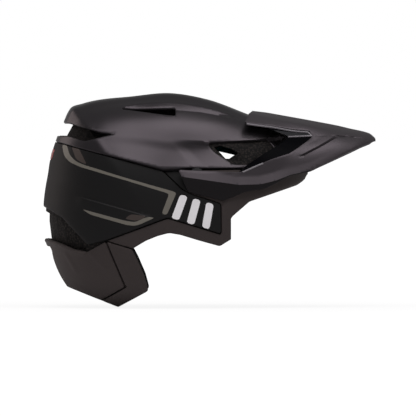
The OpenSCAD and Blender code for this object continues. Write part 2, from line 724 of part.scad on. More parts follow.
// Webbing along a route, which turns from facing one way to facing another
module webbing(route, from_face, to_face) {
  last = len(route) - 1;
  function unit(v) = v / norm(v);
  function heading(i) = unit(route[min(i + 1, last)] - route[max(i - 1, 0)]);
  loft([for (i = [0:last]) let (
    d = heading(i),
    a = unit(cross(d, mix(from_face, to_face, i / last))) * strap_w / 2,
    b = unit(cross(a, d)) * strap_t / 2
  ) [route[i] + a + b, route[i] - a + b, route[i] - a - b, route[i] + a - b]]);
}
strap_tone = [0.1, 0.1, 0.11];
module front_strap_left() color(strap_tone) webbing(front_strap_route, beside, beside);
module front_strap_right() color(strap_tone) left_only(-1) webbing(front_strap_route, beside, beside);
module rear_strap_left() color(strap_tone) webbing(rear_strap_route, nape_wall, beside);
module rear_strap_right() color(strap_tone) left_only(-1) webbing(rear_strap_route, nape_wall, beside);
module chin_strap_left() color(strap_tone) webbing(chin_strap_route, beside, below_chin);
module chin_strap_right() color(strap_tone) left_only(-1) webbing(chin_strap_route, beside, below_chin);

// Rivets through the strap ends into the lower foam
rivet_head_t = 1.6;
rivet_shank_l = 6;
rivet_gap = 0.5;
module on_wall(p, face) translate(p) rotate([0, 0, atan2(face.y, face.x)]) rotate([0, 90, 0]) children();
module rivet_shanks(grow) for (side = [-1, 1]) left_only(side) {
  on_wall(front_strap_route[0], beside) cylinder(h = rivet_shank_l + grow, d = rivet_d / 3 + 2 * grow);
  on_wall(rear_strap_route[0], nape_wall) cylinder(h = rivet_shank_l + grow, d = rivet_d / 3 + 2 * grow);
}
module rivet_room() translate([0, 0, -1]) cylinder(h = 1 + strap_t / 2 + rivet_gap, d = rivet_d);
module strap_rivets() color([0.25, 0.25, 0.25]) difference() {
  union() {
    rivet_shanks(0);
    for (side = [-1, 1]) left_only(side) {
      on_wall(front_strap_route[0], beside) translate([0, 0, strap_t / 2 + rivet_gap])
        cylinder(h = rivet_head_t, d = rivet_d);
      on_wall(rear_strap_route[0], nape_wall) translate([0, 0, strap_t / 2 + rivet_gap])
        cylinder(h = rivet_head_t, d = rivet_d);
    }
  }
  for (side = [-1, 1]) left_only(side) {
    on_wall(front_strap_route[0], beside) rivet_room();
    on_wall(rear_strap_route[0], nape_wall) rivet_room();
  }
}

// Each divider is a flat loop that the two side straps enter from above and the chin strap from below
divider_size = [strap_w + 7, 8.4, 10];
divider_slot = [strap_w + 2.5, 4.8];
module strap_divider(side) color([0.15, 0.15, 0.16]) left_only(side)
  translate(divider_at - [0, 0, divider_size.z / 2]) linear_extrude(divider_size.z) difference() {
    offset(2) square([divider_size.x - 4, divider_size.y - 4], center = true);
    square(divider_slot, center = true);
  }
module strap_divider_left() strap_divider(1);
module strap_divider_right() strap_divider(-1);

// Side-release buckle in the middle of the chin strap
buckle_rim = 3;
module buckle_block(length) translate([-strap_w / 2 - buckle_rim, 0, -buckle_t / 2])
  cube([strap_w + 2 * buckle_rim, length, buckle_t]);
module buckle_socket() color([0.12, 0.12, 0.13]) translate(buckle_at - [0, buckle_half_l, 0]) difference() {
  buckle_block(socket_l);
  translate([-strap_w / 2 - 1, socket_l - prong_l - 2, -buckle_t / 2 + 2])
    cube([strap_w + 2, prong_l + 3, buckle_t - 4]);
  for (side = [-1, 1])
    translate([side * (strap_w / 2 + buckle_rim), socket_l - prong_l / 2 - 2, -buckle_t / 2 + 2])
      cube([2 * buckle_rim, prong_l / 2, 2 * (buckle_t - 4)], center = true);
}
module buckle_tongue() color([0.14, 0.14, 0.15]) translate(buckle_at + [0, buckle_half_l - tongue_l, 0]) {
  buckle_block(tongue_l);
  for (side = [-1, 1]) translate([side * (strap_w / 2 - 1) - 1.5, -prong_l, -buckle_t / 2 + 2 + clear])
    cube([3, prong_l + 1, buckle_t - 4 - 2 * clear]);
}

// Loop that keeps the strap's end flat
module strap_keeper() color([0.1, 0.1, 0.1]) translate([buckle_at.x, -keeper_y - 2.5, buckle_at.z])
  rotate([-90, 0, 0]) linear_extrude(5) difference() {
    square([strap_w + 5, strap_t + 4], center = true);
    square([strap_w + 1, strap_t + 1], center = true);
  }

crown_shell();
side_wrap_shell();
lower_trim();
neck_shell();
ear_cover_left();
ear_cover_right();
rear_reflector();
liner_upper();
liner_lower();
slip_liner();
slip_anchors();
brow_pad();
crown_pads();
side_pad_left();
side_pad_right();
ear_pad_left();
ear_pad_right();
nape_pads();
visor();
visor_pin_left();
visor_pin_right();
ratchet_disc_left();
ratchet_disc_right();
height_rail();
dial_housing();
housing_cover();
dial_knob();
drive_pinion();
fit_band_left();
fit_band_right();
strap_rivets();
front_strap_left();
front_strap_right();
rear_strap_left();
rear_strap_right();
strap_divider_left();
strap_divider_right();
chin_strap_left();
chin_strap_right();
buckle_socket();
buckle_tongue();
strap_keeper();
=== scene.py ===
"""Looks of an open-face mountain bike helmet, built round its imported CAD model."""

import math

import bmesh
import bpy
import numpy as np
from mathutils import Matrix, Vector
from mathutils.geometry import delaunay_2d_cdt
from mathutils.kdtree import KDTree


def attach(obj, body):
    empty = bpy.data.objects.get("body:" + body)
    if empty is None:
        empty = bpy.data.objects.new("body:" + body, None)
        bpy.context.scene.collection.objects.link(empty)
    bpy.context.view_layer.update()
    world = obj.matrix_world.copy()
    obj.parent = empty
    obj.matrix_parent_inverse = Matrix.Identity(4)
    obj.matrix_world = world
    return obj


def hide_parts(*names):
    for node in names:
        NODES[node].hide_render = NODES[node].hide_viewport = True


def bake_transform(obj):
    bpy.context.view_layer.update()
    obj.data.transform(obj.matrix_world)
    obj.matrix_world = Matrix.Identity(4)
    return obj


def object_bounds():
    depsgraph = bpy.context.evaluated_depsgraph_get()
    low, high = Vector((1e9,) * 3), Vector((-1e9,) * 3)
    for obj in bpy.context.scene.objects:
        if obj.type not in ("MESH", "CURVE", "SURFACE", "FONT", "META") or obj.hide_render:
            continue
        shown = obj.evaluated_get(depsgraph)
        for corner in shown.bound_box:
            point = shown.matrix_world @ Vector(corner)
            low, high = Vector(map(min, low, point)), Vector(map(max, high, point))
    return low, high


bl_info = {
    "name": "Mountain Bike Helmet",
    "version": (1, 0, 0),
    "blender": (4, 5, 0),
    "location": "View3D > Sidebar > Helmet",
    "description": "Shells, visor, foam, pads, straps and studio of an open-face helmet",
    "category": "Add Mesh",
}

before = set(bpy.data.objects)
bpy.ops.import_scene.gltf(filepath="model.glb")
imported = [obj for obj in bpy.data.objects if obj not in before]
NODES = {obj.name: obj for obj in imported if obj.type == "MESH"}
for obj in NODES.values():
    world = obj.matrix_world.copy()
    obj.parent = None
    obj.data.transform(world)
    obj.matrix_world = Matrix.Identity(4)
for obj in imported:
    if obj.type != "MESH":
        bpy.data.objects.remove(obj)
CAD_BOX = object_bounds()
MM = 0.001


# Outlines in the side view, in mm
FAR = 165
WRAP = [(-FAR, 79.2), (-9.2, 37.6), (12, 17.3), (21.6, 13), (53, 2.7), (53.5, -30.2), (-4.3, -12.6),
        (-71.3, -37.5), (-91.3, -42.6), (-119.6, -12.6), (-138, -2.2), (-FAR, -1.6)]
CROWN = [(-FAR, 79.2), (-9.2, 37.6), (21.6, 39.4), (73, 40), (FAR, 37), (FAR, FAR), (-FAR, FAR)]
BROW = [(FAR, 34.5), (148, 33.5), (144.7, 27.5), (137.7, 22.7), (85.3, 5), (82, 2.2), (67, -10.8),
        (64.8, -14), (64.8, -36.5), (53, -43.8), (30.2, -37.5), (9.7, -31.3), (-2.7, -29.2),
        (-15.3, -32.5), (-27.8, -37.5), (-42.7, -46.4)]
TRIM = [(-71.3, -37.5), (-4.3, -12.6), (53.5, -30.2), (53, 2.7), (21.6, 13), (12, 17.3),
        (-9.2, 37.6), (21.6, 39.4), (73, 40), (FAR, 37)] + BROW
LOBE_FRONT = [(-42.7, -46.4), (-37.3, -56.7), (-29.2, -75.6), (-25.3, -90.2), (-26, -93),
              (-57.6, -110.2), (-76.4, -102.8)]
EAR_COVER = [(-71.3, -37.5)] + LOBE_FRONT + [(-50, -87.5)]
NECK = [(-71.3, -37.5), (-50, -87.5), (-76.4, -102.8), (-114.5, -88), (-FAR, -84), (-FAR, -35),
        (-134, -35.6), (-119.9, -40.5), (-105.8, -46.4), (-91.3, -49.2)]
REAR_VENT = [(-FAR, 91), (-112, 90.4), (-77.4, 78.8), (-63, 77), (-93.5, 69.4), (-111, 74.7), (-FAR, 76)]
SIDE_SLOT = [(-53.5, 103.9), (3.7, 105.8), (4, 95.8), (-6.7, 96.7), (-51.8, 102.6)]
SIDE_VENT = [(40, 66.5), (46.4, 59.4), (59.4, 50.2), (66, 44.6), (95, 44.4), (116, 58), (106, 71.5), (41, 68)]
VISOR_OUTLINE = [(78.4, 93), (82.6, 99.1), (86.1, 101.5), (92, 105), (214, 84), (221, 78), (220.6, 74),
                 (216.2, 71), (210, 67.8), (200, 62), (190, 56.8), (170, 46.8), (148.7, 36.5), (127.4, 32.4),
                 (112.9, 24.8), (100.4, 18.4), (78.8, 15.1), (55, 5.4), (40, 9.1), (17.3, 15.1), (7, 38.9),
                 (71.3, 36.2), (76.7, 37.3), (89.6, 43.2), (105.8, 50.3), (126.4, 57.9), (151.2, 78.5),
                 (147.3, 82.6), (79.8, 91.6)]
VISOR_FRONT = 220.2
NOSE_R = 110.0
VISOR_THICK = 3.2
VISOR_RIM = 1.2

# The part of the lower trim that lies in shade behind the visor's arm and takes the wrap's darker finish as
# painted shade
ARM_PAINTED_SHADE = [(-9, 37.2), (21.6, 39), (32, 39.2), (32, 11), (21.6, 13.4), (12, 17.7)]

# Outlines in the front or rear view (y, z), and of the top slots in the view from above (y, x), in mm
INTAKE = [(10, 62), (34, 62), (34, 79), (10, 79)]
REFLECTOR_SEAT = [(0, 49.2), (23.3, 49.2), (23.3, 60.8), (0, 60.8)]
DIAL_NOTCH = [(-5, -130), (35, -130), (35, -44.5), (-5, -44.5)]
TOP_SLOTS = [[(8, x - 6), (20, x - 6), (20, x + 32), (8, x + 32)] for x in (-52, 8)]

# An opening that is drawn in one view is cut only beyond this place on the third axis, in mm
VENT_Y = 30
SLOT_Y = 42
INTAKE_X = 74
TOP_SLOT_Z = 60
SEAT_X = -100
NOTCH_X = -60

# Directions from the ear, in degrees, between which such an opening lies
INTAKE_WAYS = (15, 90)
TOP_SLOT_WAYS = (40, 140)
SEAT_WAYS = (118, 172)
NOTCH_WAYS = (172, 262)

# Radii of the outlines' corners in mm
CORNERS = {"crown": 2.5, "rear_vent": 2.5, "side_slot": 2.0, "side_vent": 4.0, "intake": 4, "top_slot": 6,
           "wrap": 2.0, "seat": 1.5, "stripe": 3.0, "trim": 1.5, "neck": 2.0, "notch": 6, "ear_cover": 1.5,
           "visor": 2.0}

# A rim is wide within this distance in mm of an edge that meets no other skin
FREE_REACH = 7

# The side wrap's rim is wide only below this height in mm
FREE_BELOW = 2

# Inlays of the side wrap: outline, place in its list of materials
OLIVE, BROWN, PALE = 1, 2, 3
STRIPES = [
    ([(-118.3, 65.5), (-113.2, 65.5), (-110, 54.8), (-103.8, 48.2), (-96.3, 44.6), (-47.5, 29.6), (5.4, 14.6),
      (-5.3, -9.7), (-10.8, -8.3), (-2.6, 13.2), (-47.5, 26.9), (-98.8, 41.9), (-110, 47), (-115.9, 53.6)],
     OLIVE),
    ([(-108, 64), (-99.8, 61.6), (-91.4, 44.6), (-96.5, 46.2), (-103.2, 50.4)], BROWN),
    ([(-96.3, -3.4), (-87.2, -5.9), (-50.8, -15.6), (-39.2, -17.4), (-26.8, -12.0), (-17.7, -12.3),
      (-32.6, -19.3), (-39.2, -21.2), (-47.5, -20.5), (-87.2, -9.4)], OLIVE),
    ([(-50.3, -13.8), (-43.6, -8.9), (-26.4, -10.8), (-31.4, -13.9), (-38.2, -16.0)], BROWN),
    ([(9.2, 12.6), (17.2, 10.3), (7.8, -15.2), (-0.4, -12.9)], PALE),
    ([(23.2, 8.4), (31.2, 6.1), (24.0, -20.2), (16.0, -17.8)], PALE),
    ([(37.2, 4.3), (45.2, 2.0), (40.4, -25.0), (32.4, -22.6)], PALE),
]

# Lamps: name, place, aim, width, depth, power in watts and colour
LAMPS = [
    ("Key", (0.26, -0.72, 1.8), (0.03, 0, 0.02), 2.0, 1.0, 27.0, (1.0, 0.97, 0.985)),
    ("Rear edge", (-1.5, 0.75, 0.45), (0, 0, 0), 0.7, 1.4, 5.0, (1.0, 0.86, 0.82)),
]


# Plane geometry
def rounded(outline, radius, steps=4):
    """The outline with each corner drawn as a short curve."""
    pts = np.array(outline, float)
    out = []
    for i, p in enumerate(pts):
        a, b = pts[i - 1], pts[(i + 1) % len(pts)]
        la, lb = np.linalg.norm(a - p), np.linalg.norm(b - p)
        d = min(radius, 0.45 * la, 0.45 * lb)
        s, e = p + (a - p) / la * d, p + (b - p) / lb * d
        for t in np.linspace(0, 1, steps + 1):
            out.append((1 - t) ** 2 * s + 2 * t * (1 - t) * p + t * t * e)
    return np.array(out)


def shrunk(outline, gap):
    """The outline moved inward by the gap, with sharp corners."""
    pts = np.array(outline, float)
    area = np.sum(pts[:, 0] * np.roll(pts[:, 1], -1) - np.roll(pts[:, 0], -1) * pts[:, 1])
    turn = 1 if area > 0 else -1
    out = []
    for i, p in enumerate(pts):
        sides = p - pts[i - 1], pts[(i + 1) % len(pts)] - p
        m = sum(np.array([-d[1], d[0]]) / np.linalg.norm(d) * turn for d in sides)
        out.append(p + m * gap / max(0.25, (m @ m) / 2))
    return np.array(out)


def within(points, outline):
    """Which points lie inside the outline, by the even-odd rule."""
    x, y = points[:, 0], points[:, 1]
    inside = np.zeros(len(points), bool)
    q = np.array(outline, float)
    for (x0, y0), (x1, y1) in zip(q, np.roll(q, -1, 0)):
        cross = (y0 > y) != (y1 > y)
        with np.errstate(divide="ignore", invalid="ignore"):
            at = x0 + (y - y0) / (y1 - y0) * (x1 - x0)
        inside ^= cross & (x < at)
    return inside


def run_of(line):
    """Length of the way from a line's start to each of its points."""
    return np.r_[0, np.cumsum(np.linalg.norm(np.diff(line, axis=0), axis=1))]


def evenly(line, count):
    """Points spread evenly over the length of a line."""
    run = run_of(line)
    at = np.linspace(0, run[-1], count)
    return np.column_stack([np.interp(at, run, line[:, k]) for k in range(line.shape[1])])


def spaced(line, step, closed):
    """The line cut into steps of about the given length."""
    p = np.vstack([line, line[:1]]) if closed else np.array(line, float)
    out = evenly(p, max(2, int(round(run_of(p)[-1] / step)) + 1))
    return out[:-1] if closed else out


def nearest(points, line):
    """Distance of each point from a line, share of the line's length there, and its side: 1 is left."""
    a, b = np.array(line[:-1], float), np.array(line[1:], float)
    best = np.full(len(points), np.inf)
    along, side = np.zeros(len(points)), np.ones(len(points))
    total = np.sum(np.linalg.norm(b - a, axis=1))
    run = 0.0
    for p, d in zip(a, b - a):
        length = np.linalg.norm(d)
        t = np.clip((points - p) @ d / length**2, 0, 1)
        gap = np.linalg.norm(points - (p + t[:, None] * d), axis=1)
        cross = d[0] * (points[:, 1] - p[1]) - d[1] * (points[:, 0] - p[0])
        near = gap < best
        best = np.where(near, gap, best)
        along = np.where(near, (run + t * length) / total, along)
        side = np.where(near, np.sign(cross), side)
        run += length
    return best, along, side


def line_gap(points, line):
    """Distance of each point from a line, and how far along it the nearest place is, from 0 to 1."""
    return nearest(points, line)[:2]


def side_of(points, line):
    """Signed distance of each point from the nearest part of a line, positive on its left."""
    gap, _, side = nearest(points, line)
    return gap * side


def left_of(d):
    """Plane vectors turned a quarter to the left."""
    return np.column_stack([-d[:, 1], d[:, 0]])


def unit(v):
    """A vector, or each row of vectors, brought to a length of 1."""
    return v / np.linalg.norm(v, axis=-1, keepdims=True)


def bearing(d):
    """Direction of each plane vector in degrees, from 0 to 360."""
    return np.degrees(np.arctan2(d[:, 1], d[:, 0])) % 360


def spoke(a, r):
    """Plane points at a direction in degrees and a distance."""
    return np.column_stack([r * np.cos(np.radians(a)), r * np.sin(np.radians(a))])


def arch(share, fullness):
    """Height of a full arch that is 1 high and 1 wide, at a share of its half width."""
    return (1 - np.clip(share, 0, 1) ** fullness) ** (1 / fullness)


def ease(v):
    """Smooth step from 0 to 1."""
    v = np.clip(v, 0, 1)
    return v * v * (3 - 2 * v)


# The two lofted forms
def hermite(x, xs, ys):
    """Smooth curve through (xs, ys), at x."""
    m = np.empty_like(ys)
    m[1:-1] = (ys[2:] - ys[:-2]) / (xs[2:] - xs[:-2])
    m[0] = (ys[1] - ys[0]) / (xs[1] - xs[0])
    m[-1] = (ys[-1] - ys[-2]) / (xs[-1] - xs[-2])
    i = np.clip(np.searchsorted(xs, x, side="right") - 1, 0, len(xs) - 2)
    h = xs[i + 1] - xs[i]
    t = (x - xs[i]) / h
    return ((2 * t**3 - 3 * t**2 + 1) * ys[i] + (t**3 - 2 * t**2 + t) * h * m[i]
            + (3 * t**2 - 2 * t**3) * ys[i + 1] + (t**3 - t**2) * h * m[i + 1])


ALONG_X, ALONG_Z = 0, 2


class ShellForm:
    """The helmet's outer face, laid flat round the left ear so that sheets can be cut from it."""

    MID_CLOSED = True
    EAR = np.array([-2.0, -38.0])
    FULLNESS = 2.3
    HALF_W = 107.0
    SPREAD = 1.25
    RIDGE_FROM, RIDGE_SPAN = 42, 100
    RIDGE_Y, RIDGE_HALF, RIDGE_HEIGHT, VALLEY = 32, 9, 2.6, 0.35
    PROFILE = [(141, -10), (148, 34), (141, 62), (118, 84), (79, 99.7), (37, 115), (-1, 121.4),
               (-46, 117.7), (-97, 110), (-110, 104.8), (-125, 71.5), (-131.4, 50), (-134.5, 31),
               (-138.8, -1.5), (-138.5, -20), (-135.5, -42), (-132, -60), (-118, -88), (-89, -115),
               (-48, -128), (0, -134), (62, -118), (112, -74)]

    def __init__(self):
        p = np.array(self.PROFILE, float) - self.EAR
        a = bearing(p)
        r = np.linalg.norm(p, axis=1)
        self.ka = np.r_[a[-2:] - 360, a, a[:3] + 360]
        self.kr = np.r_[r[-2:], r, r[:3]]

    def reach(self, a):
        """Distance from the ear to the centre line, in a direction in degrees."""
        a = np.asarray(a, float) % 360
        return hermite(np.where(a < self.ka[2], a + 360, a), self.ka, self.kr)

    def ridge(self, a, y):
        """Height of the crown's two ridges and of the valley between them."""
        w = np.sin(np.pi * np.clip((a - self.RIDGE_FROM) / self.RIDGE_SPAN, 0, 1)) ** 0.5
        ridges = np.exp(-(((np.abs(y) - self.RIDGE_Y) / self.RIDGE_HALF) ** 2))
        return self.RIDGE_HEIGHT * w * (ridges - self.VALLEY * np.exp(-((y / self.RIDGE_HALF) ** 2)))

    def rim(self, a):
        """Distance from the flat sheet's middle to its midline."""
        return self.SPREAD * self.reach(a)

    def polar(self, uv):
        """Direction of flat places, and their turn away from the ear: 90 degrees is the midline."""
        a = bearing(uv)
        return a, np.hypot(uv[:, 0], uv[:, 1]) / self.rim(a) * 90

    def beyond(self, uv):
        """Which flat places lie past the midline."""
        return self.polar(uv)[1] > 90.0001

    def on_mid(self, uv):
        """Which flat places lie on the midline."""
        return np.abs(self.polar(uv)[1] - 90) < 0.05

    def onto_mid(self, p):
        """A flat place moved straight onto the midline."""
        a = math.degrees(math.atan2(p[1], p[0])) % 360
        way = np.array([math.cos(math.radians(a)), math.sin(math.radians(a))])
        return way * self.rim(np.array([a]))[0]

    def solid(self, uv, depth):
        """Flat places set back on the helmet, at a depth under its outer face."""
        a, phi = self.polar(uv)
        phi = np.radians(np.clip(phi, 0, 90))
        s, c = np.cos(phi) ** (2 / self.FULLNESS), np.sin(phi) ** (2 / self.FULLNESS)
        s = np.where(phi > math.radians(89.9999), 0, s)
        y = s * (self.HALF_W - depth)
        r = c * (self.reach(a) - depth + self.ridge(a, y))
        ar = np.radians(a)
        return np.column_stack([self.EAR[0] + r * np.cos(ar), y, self.EAR[1] + r * np.sin(ar)])

    def place(self, a, c):
        """Flat place of a point by direction from the ear and share of the reach."""
        phi = np.degrees(np.arcsin(np.clip(c, 0, 1) ** (self.FULLNESS / 2)))
        return spoke(a, np.where(c < 1, phi, 90 + 40 * (c - 1)) / 90 * self.rim(a))

    def flat(self, xz):
        """Flat place of points given in the side view."""
        d = np.asarray(xz, float) - self.EAR
        a, rho = bearing(d), np.hypot(d[:, 0], d[:, 1])
        reach = self.reach(a)
        y = np.zeros(len(a))
        for _ in range(4):
            c = rho / (reach + self.ridge(a, y))
            y = self.HALF_W * arch(c, self.FULLNESS)
        return self.place(a, c)

    def flat_seen(self, yw, axis, ways):
        """Flat place of points seen along x (y and z) or along z (y and x), between two directions."""
        y, w = np.abs(yw[:, 0]), yw[:, 1]
        c = arch(y / self.HALF_W, self.FULLNESS)
        trial = np.linspace(*ways, 600)
        start, way = self.EAR[0], np.cos(np.radians(trial))
        if axis == ALONG_X:
            start, way = self.EAR[1], np.sin(np.radians(trial))
        out = np.empty(len(y))
        for i in range(len(y)):
            at = start + c[i] * (self.reach(trial) + self.ridge(trial, y[i])) * way
            out[i] = trial[np.argmin(np.abs(at - w[i]))]
        return self.place(out, c)

    def midline(self, step):
        """The midline on the flat sheet."""
        a = np.linspace(0, 360, int(2 * math.pi * 180 / step))[:-1]
        return spoke(a, self.rim(a))


class VisorForm:
    """The visor's outer face, laid flat from its centre line down to the hem of its arm."""

    MID_CLOSED = False
    # Place along x, height of the centre line, share of the half width
    STATIONS = np.array([(-10, 108, 1), (0, 108, 1), (45, 107, 1), (60, 105, 0.978), (80, 102.6, 0.93),
                         (110, 97, 0.84), (150, 89.8, 0.745), (190, 82.2, 0.61), (213, 77.6, 0.49),
                         (226, 69, 0.38)])
    HEM = 40.0
    HALF_W = 106.0
    FULLNESS = 2.6
    SPAN = 118.0

    def shape(self, x, depth):
        """Height above the hem and half width at places along x, at a depth under the outer face."""
        s = self.STATIONS
        top = hermite(x, s[:, 0], s[:, 1]) - depth - self.HEM
        half = self.HALF_W * hermite(x, s[:, 0], s[:, 2]) - depth
        return top, half

    def beyond(self, uv):
        """Which flat places lie past the midline."""
        return uv[:, 1] < -1e-4

    def on_mid(self, uv):
        """Which flat places lie on the midline."""
        return np.abs(uv[:, 1]) < 1e-3

    def onto_mid(self, p):
        """A flat place moved straight onto the midline."""
        return np.array([p[0], 0.0])

    def solid(self, uv, depth):
        """Flat places set back on the visor, at a depth under its outer face."""
        x, w = uv[:, 0], np.clip(uv[:, 1] / self.SPAN, 0, None)
        top, half = self.shape(x, depth)
        g = np.radians(90 * (1 - np.clip(w, 0, 1)))
        y = np.where(w <= 0, 0, np.abs(np.cos(g)) ** (2 / self.FULLNESS) * half)
        z = self.HEM + top * np.abs(np.sin(g)) ** (2 / self.FULLNESS) - np.clip(w - 1, 0, None) * self.SPAN
        return np.column_stack([x, y, z])

    def flat(self, xz):
        """Flat place of points given in the side view."""
        xz = np.asarray(xz, float)
        top, _ = self.shape(xz[:, 0], 0)
        h = (xz[:, 1] - self.HEM) / top
        g = np.degrees(np.arcsin(np.clip(h, 0, 1) ** (self.FULLNESS / 2)))
        below_hem = 1 + (self.HEM - xz[:, 1]) / self.SPAN
        w = np.where(h > 1, -0.6 * (h - 1), np.where(h < 0, below_hem, 1 - g / 90))
        return np.column_stack([xz[:, 0], w * self.SPAN])

    def flat_plan(self, xy):
        """Flat place of points given in the view from above."""
        _, half = self.shape(xy[:, 0], 0)
        c = np.clip(np.abs(xy[:, 1]) / half, 0, 1)
        g = np.degrees(np.arccos(c ** (self.FULLNESS / 2)))
        return np.column_stack([xy[:, 0], (1 - g / 90) * self.SPAN])

    def midline(self, step):
        """The midline on the flat sheet."""
        x = np.arange(self.STATIONS[0, 0], self.STATIONS[-1, 0], step)
        return np.column_stack([x, np.zeros(len(x))])


SHELL = ShellForm()
VISOR = VisorForm()


# Sheets cut from a form
FINE_STEP, LINE_STEP, RIM_STEP = 0.1, 1.5, 1.3
MERGE_GAP = 1e-4
# Rows inside a rim by share of its radius, and the most of the thickness that its rounding takes
RIM_ROWS, RIM_MOST = (0.3, 1.0), 0.9
# Spacing of a triangular grid's rows, and how far it keeps off the drawn lines, by its mesh size
ROW_SPACING, CLEARANCE = 0.866, 0.55


def trace(form, outline, closed=True):
    """An outline of the side view, drawn on the form's flat sheet."""
    fine = spaced(np.array(outline, float), FINE_STEP, closed)
    return spaced(form.flat(fine), LINE_STEP, closed)


def joined(lines):
    """All points and edges of a list of (line, closed)."""
    pts, edges, n = [], [], 0
    for line, closed in lines:
        k = len(line)
        pts.append(line)
        edges += [(n + i, n + i + 1) for i in range(k - 1)]
        if closed:
            edges.append((n + k - 1, n))
        n += k
    return np.vstack(pts), edges


def triangles(lines, extra=()):
    """Points and triangles that follow every line, with extra points between them."""
    pts, edges = joined(lines)
    if len(extra):
        pts = np.vstack([pts, extra])
    v, _, f, _, _, _ = delaunay_2d_cdt([Vector(p) for p in pts], edges, [], 0, MERGE_GAP)
    return np.array([tuple(p) for p in v], float), np.array([t for t in f if len(t) == 3], int)


def open_edges(faces):
    """Edges that only one face uses, in the direction in which it uses them."""
    e = np.vstack([faces[:, [0, 1]], faces[:, [1, 2]], faces[:, [2, 0]]])
    key = np.sort(e, axis=1)
    _, first, count = np.unique(key, axis=0, return_index=True, return_counts=True)
    return e[first[count == 1]]


def chains(edges):
    """Rows of points that follow directed edges end to end: (indices, closed)."""
    ahead = {}
    for a, b in edges:
        ahead.setdefault(a, []).append(b)
    starts = sorted(set(ahead) - {b for after in ahead.values() for b in after})
    out = []
    while starts or any(ahead.values()):
        first = starts.pop(0) if starts else next(a for a, after in ahead.items() if after)
        row, closed = [first], False
        while ahead.get(row[-1]) and not closed:
            b = ahead[row[-1]].pop(0)
            closed = b == first
            if not closed:
                row.append(b)
        if closed or len(row) > 1:
            out.append((row, closed))
    return out


def inset_line(form, line, closed, gap):
    """The line moved to its left by a gap in mm, measured on the form."""
    before = np.roll(line, 1, 0) if closed else np.vstack([line[:1], line[:-1]])
    after = np.roll(line, -1, 0) if closed else np.vstack([line[1:], line[-1:]])
    d0, d1 = line - before, after - line
    if not closed:
        d0[0], d1[-1] = d1[0], d0[-1]
    m = sum(left_of(d) / (np.linalg.norm(d, axis=1)[:, None] + 1e-12) for d in (d0, d1))
    m /= np.clip(np.sum(m * m, axis=1) / 2, 0.5, None)[:, None]
    # Length on the form of a short step on the flat sheet
    probe = 0.5
    far = np.linalg.norm(form.solid(line + m * probe, 0) - form.solid(line, 0), axis=1) / probe
    far /= np.clip(np.linalg.norm(m, axis=1), 1e-6, None)
    return line + m * (gap / np.clip(far, 0.3, None))[:, None]


def kept_faces(form, inside, v, f):
    """Triangles that lie on the form and inside the piece, and aren't slivers on the midline."""
    c = v[f].mean(1)
    return f[inside(form.solid(c, 0)) & ~form.beyond(c) & ~form.on_mid(v)[f].all(1)]


def rim_of(faces, mid):
    """Open edges of the faces that don't lie on the midline."""
    return [e for e in open_edges(faces) if not (mid[e[0]] and mid[e[1]])]


def rim_rows(form, lines, inside, midline, edge):
    """The piece's rims with two rows inside each for its rounding, and the corners of its faces."""
    v, f = triangles([(line, True) for line in lines] + [midline])
    f = kept_faces(form, inside, v, f)
    rims = []
    for row, closed in chains(rim_of(f, form.on_mid(v))):
        line = v[row]
        if closed or len(line) > 2:
            rims.append((spaced(line, RIM_STEP, closed) if len(line) > 4 else line, closed))
    rows = list(rims)
    for share in RIM_ROWS:
        for line, closed in rims:
            inner = inset_line(form, line, closed, edge * share)
            if not closed:
                for k in (0, -1):
                    inner[k] = form.onto_mid(inner[k])
            rows.append((inner, closed))
    return rows, v[f].reshape(-1, 2)


def tree_of(points):
    """A tree that finds the nearest of the points."""
    tree = KDTree(len(points))
    for i, p in enumerate(points):
        tree.insert(p, i)
    tree.balance()
    return tree


def grid_points(form, inside, corners, grid, fence):
    """A triangular grid of points inside the piece, which keeps clear of its lines."""
    low, high = corners.min(0), corners.max(0)
    gx, gy = np.meshgrid(np.arange(low[0], high[0], grid), np.arange(low[1], high[1], grid * ROW_SPACING))
    gx = gx + (np.arange(gx.shape[0]) % 2)[:, None] * grid / 2
    g = np.column_stack([gx.ravel(), gy.ravel()])
    g = g[inside(form.solid(g, 0)) & ~form.beyond(g)]
    tree = tree_of([(p[0], p[1], 0) for p in fence])
    return np.array([p for p in g if tree.find((p[0], p[1], 0))[2] > CLEARANCE * grid])


def rim_fall(base, rims, radius, thick):
    """How far each point drops below the face, for a rim that is rounded by its distance from the edge."""
    near = tree_of([base[a] * (1 - t) + base[b] * t for a, b in rims for t in (0, 0.25, 0.5, 0.75)])
    away = np.array([near.find(p)[2] for p in base])
    drop = radius - np.sqrt(np.clip(radius**2 - (radius - away) ** 2, 0, None))
    return np.minimum(np.where(away < radius, drop, 0), thick * RIM_MOST)


def renumbered(count, used):
    """The new place of each used point, counted from 0."""
    index = np.zeros(count, int)
    index[used] = np.arange(len(used))
    return index


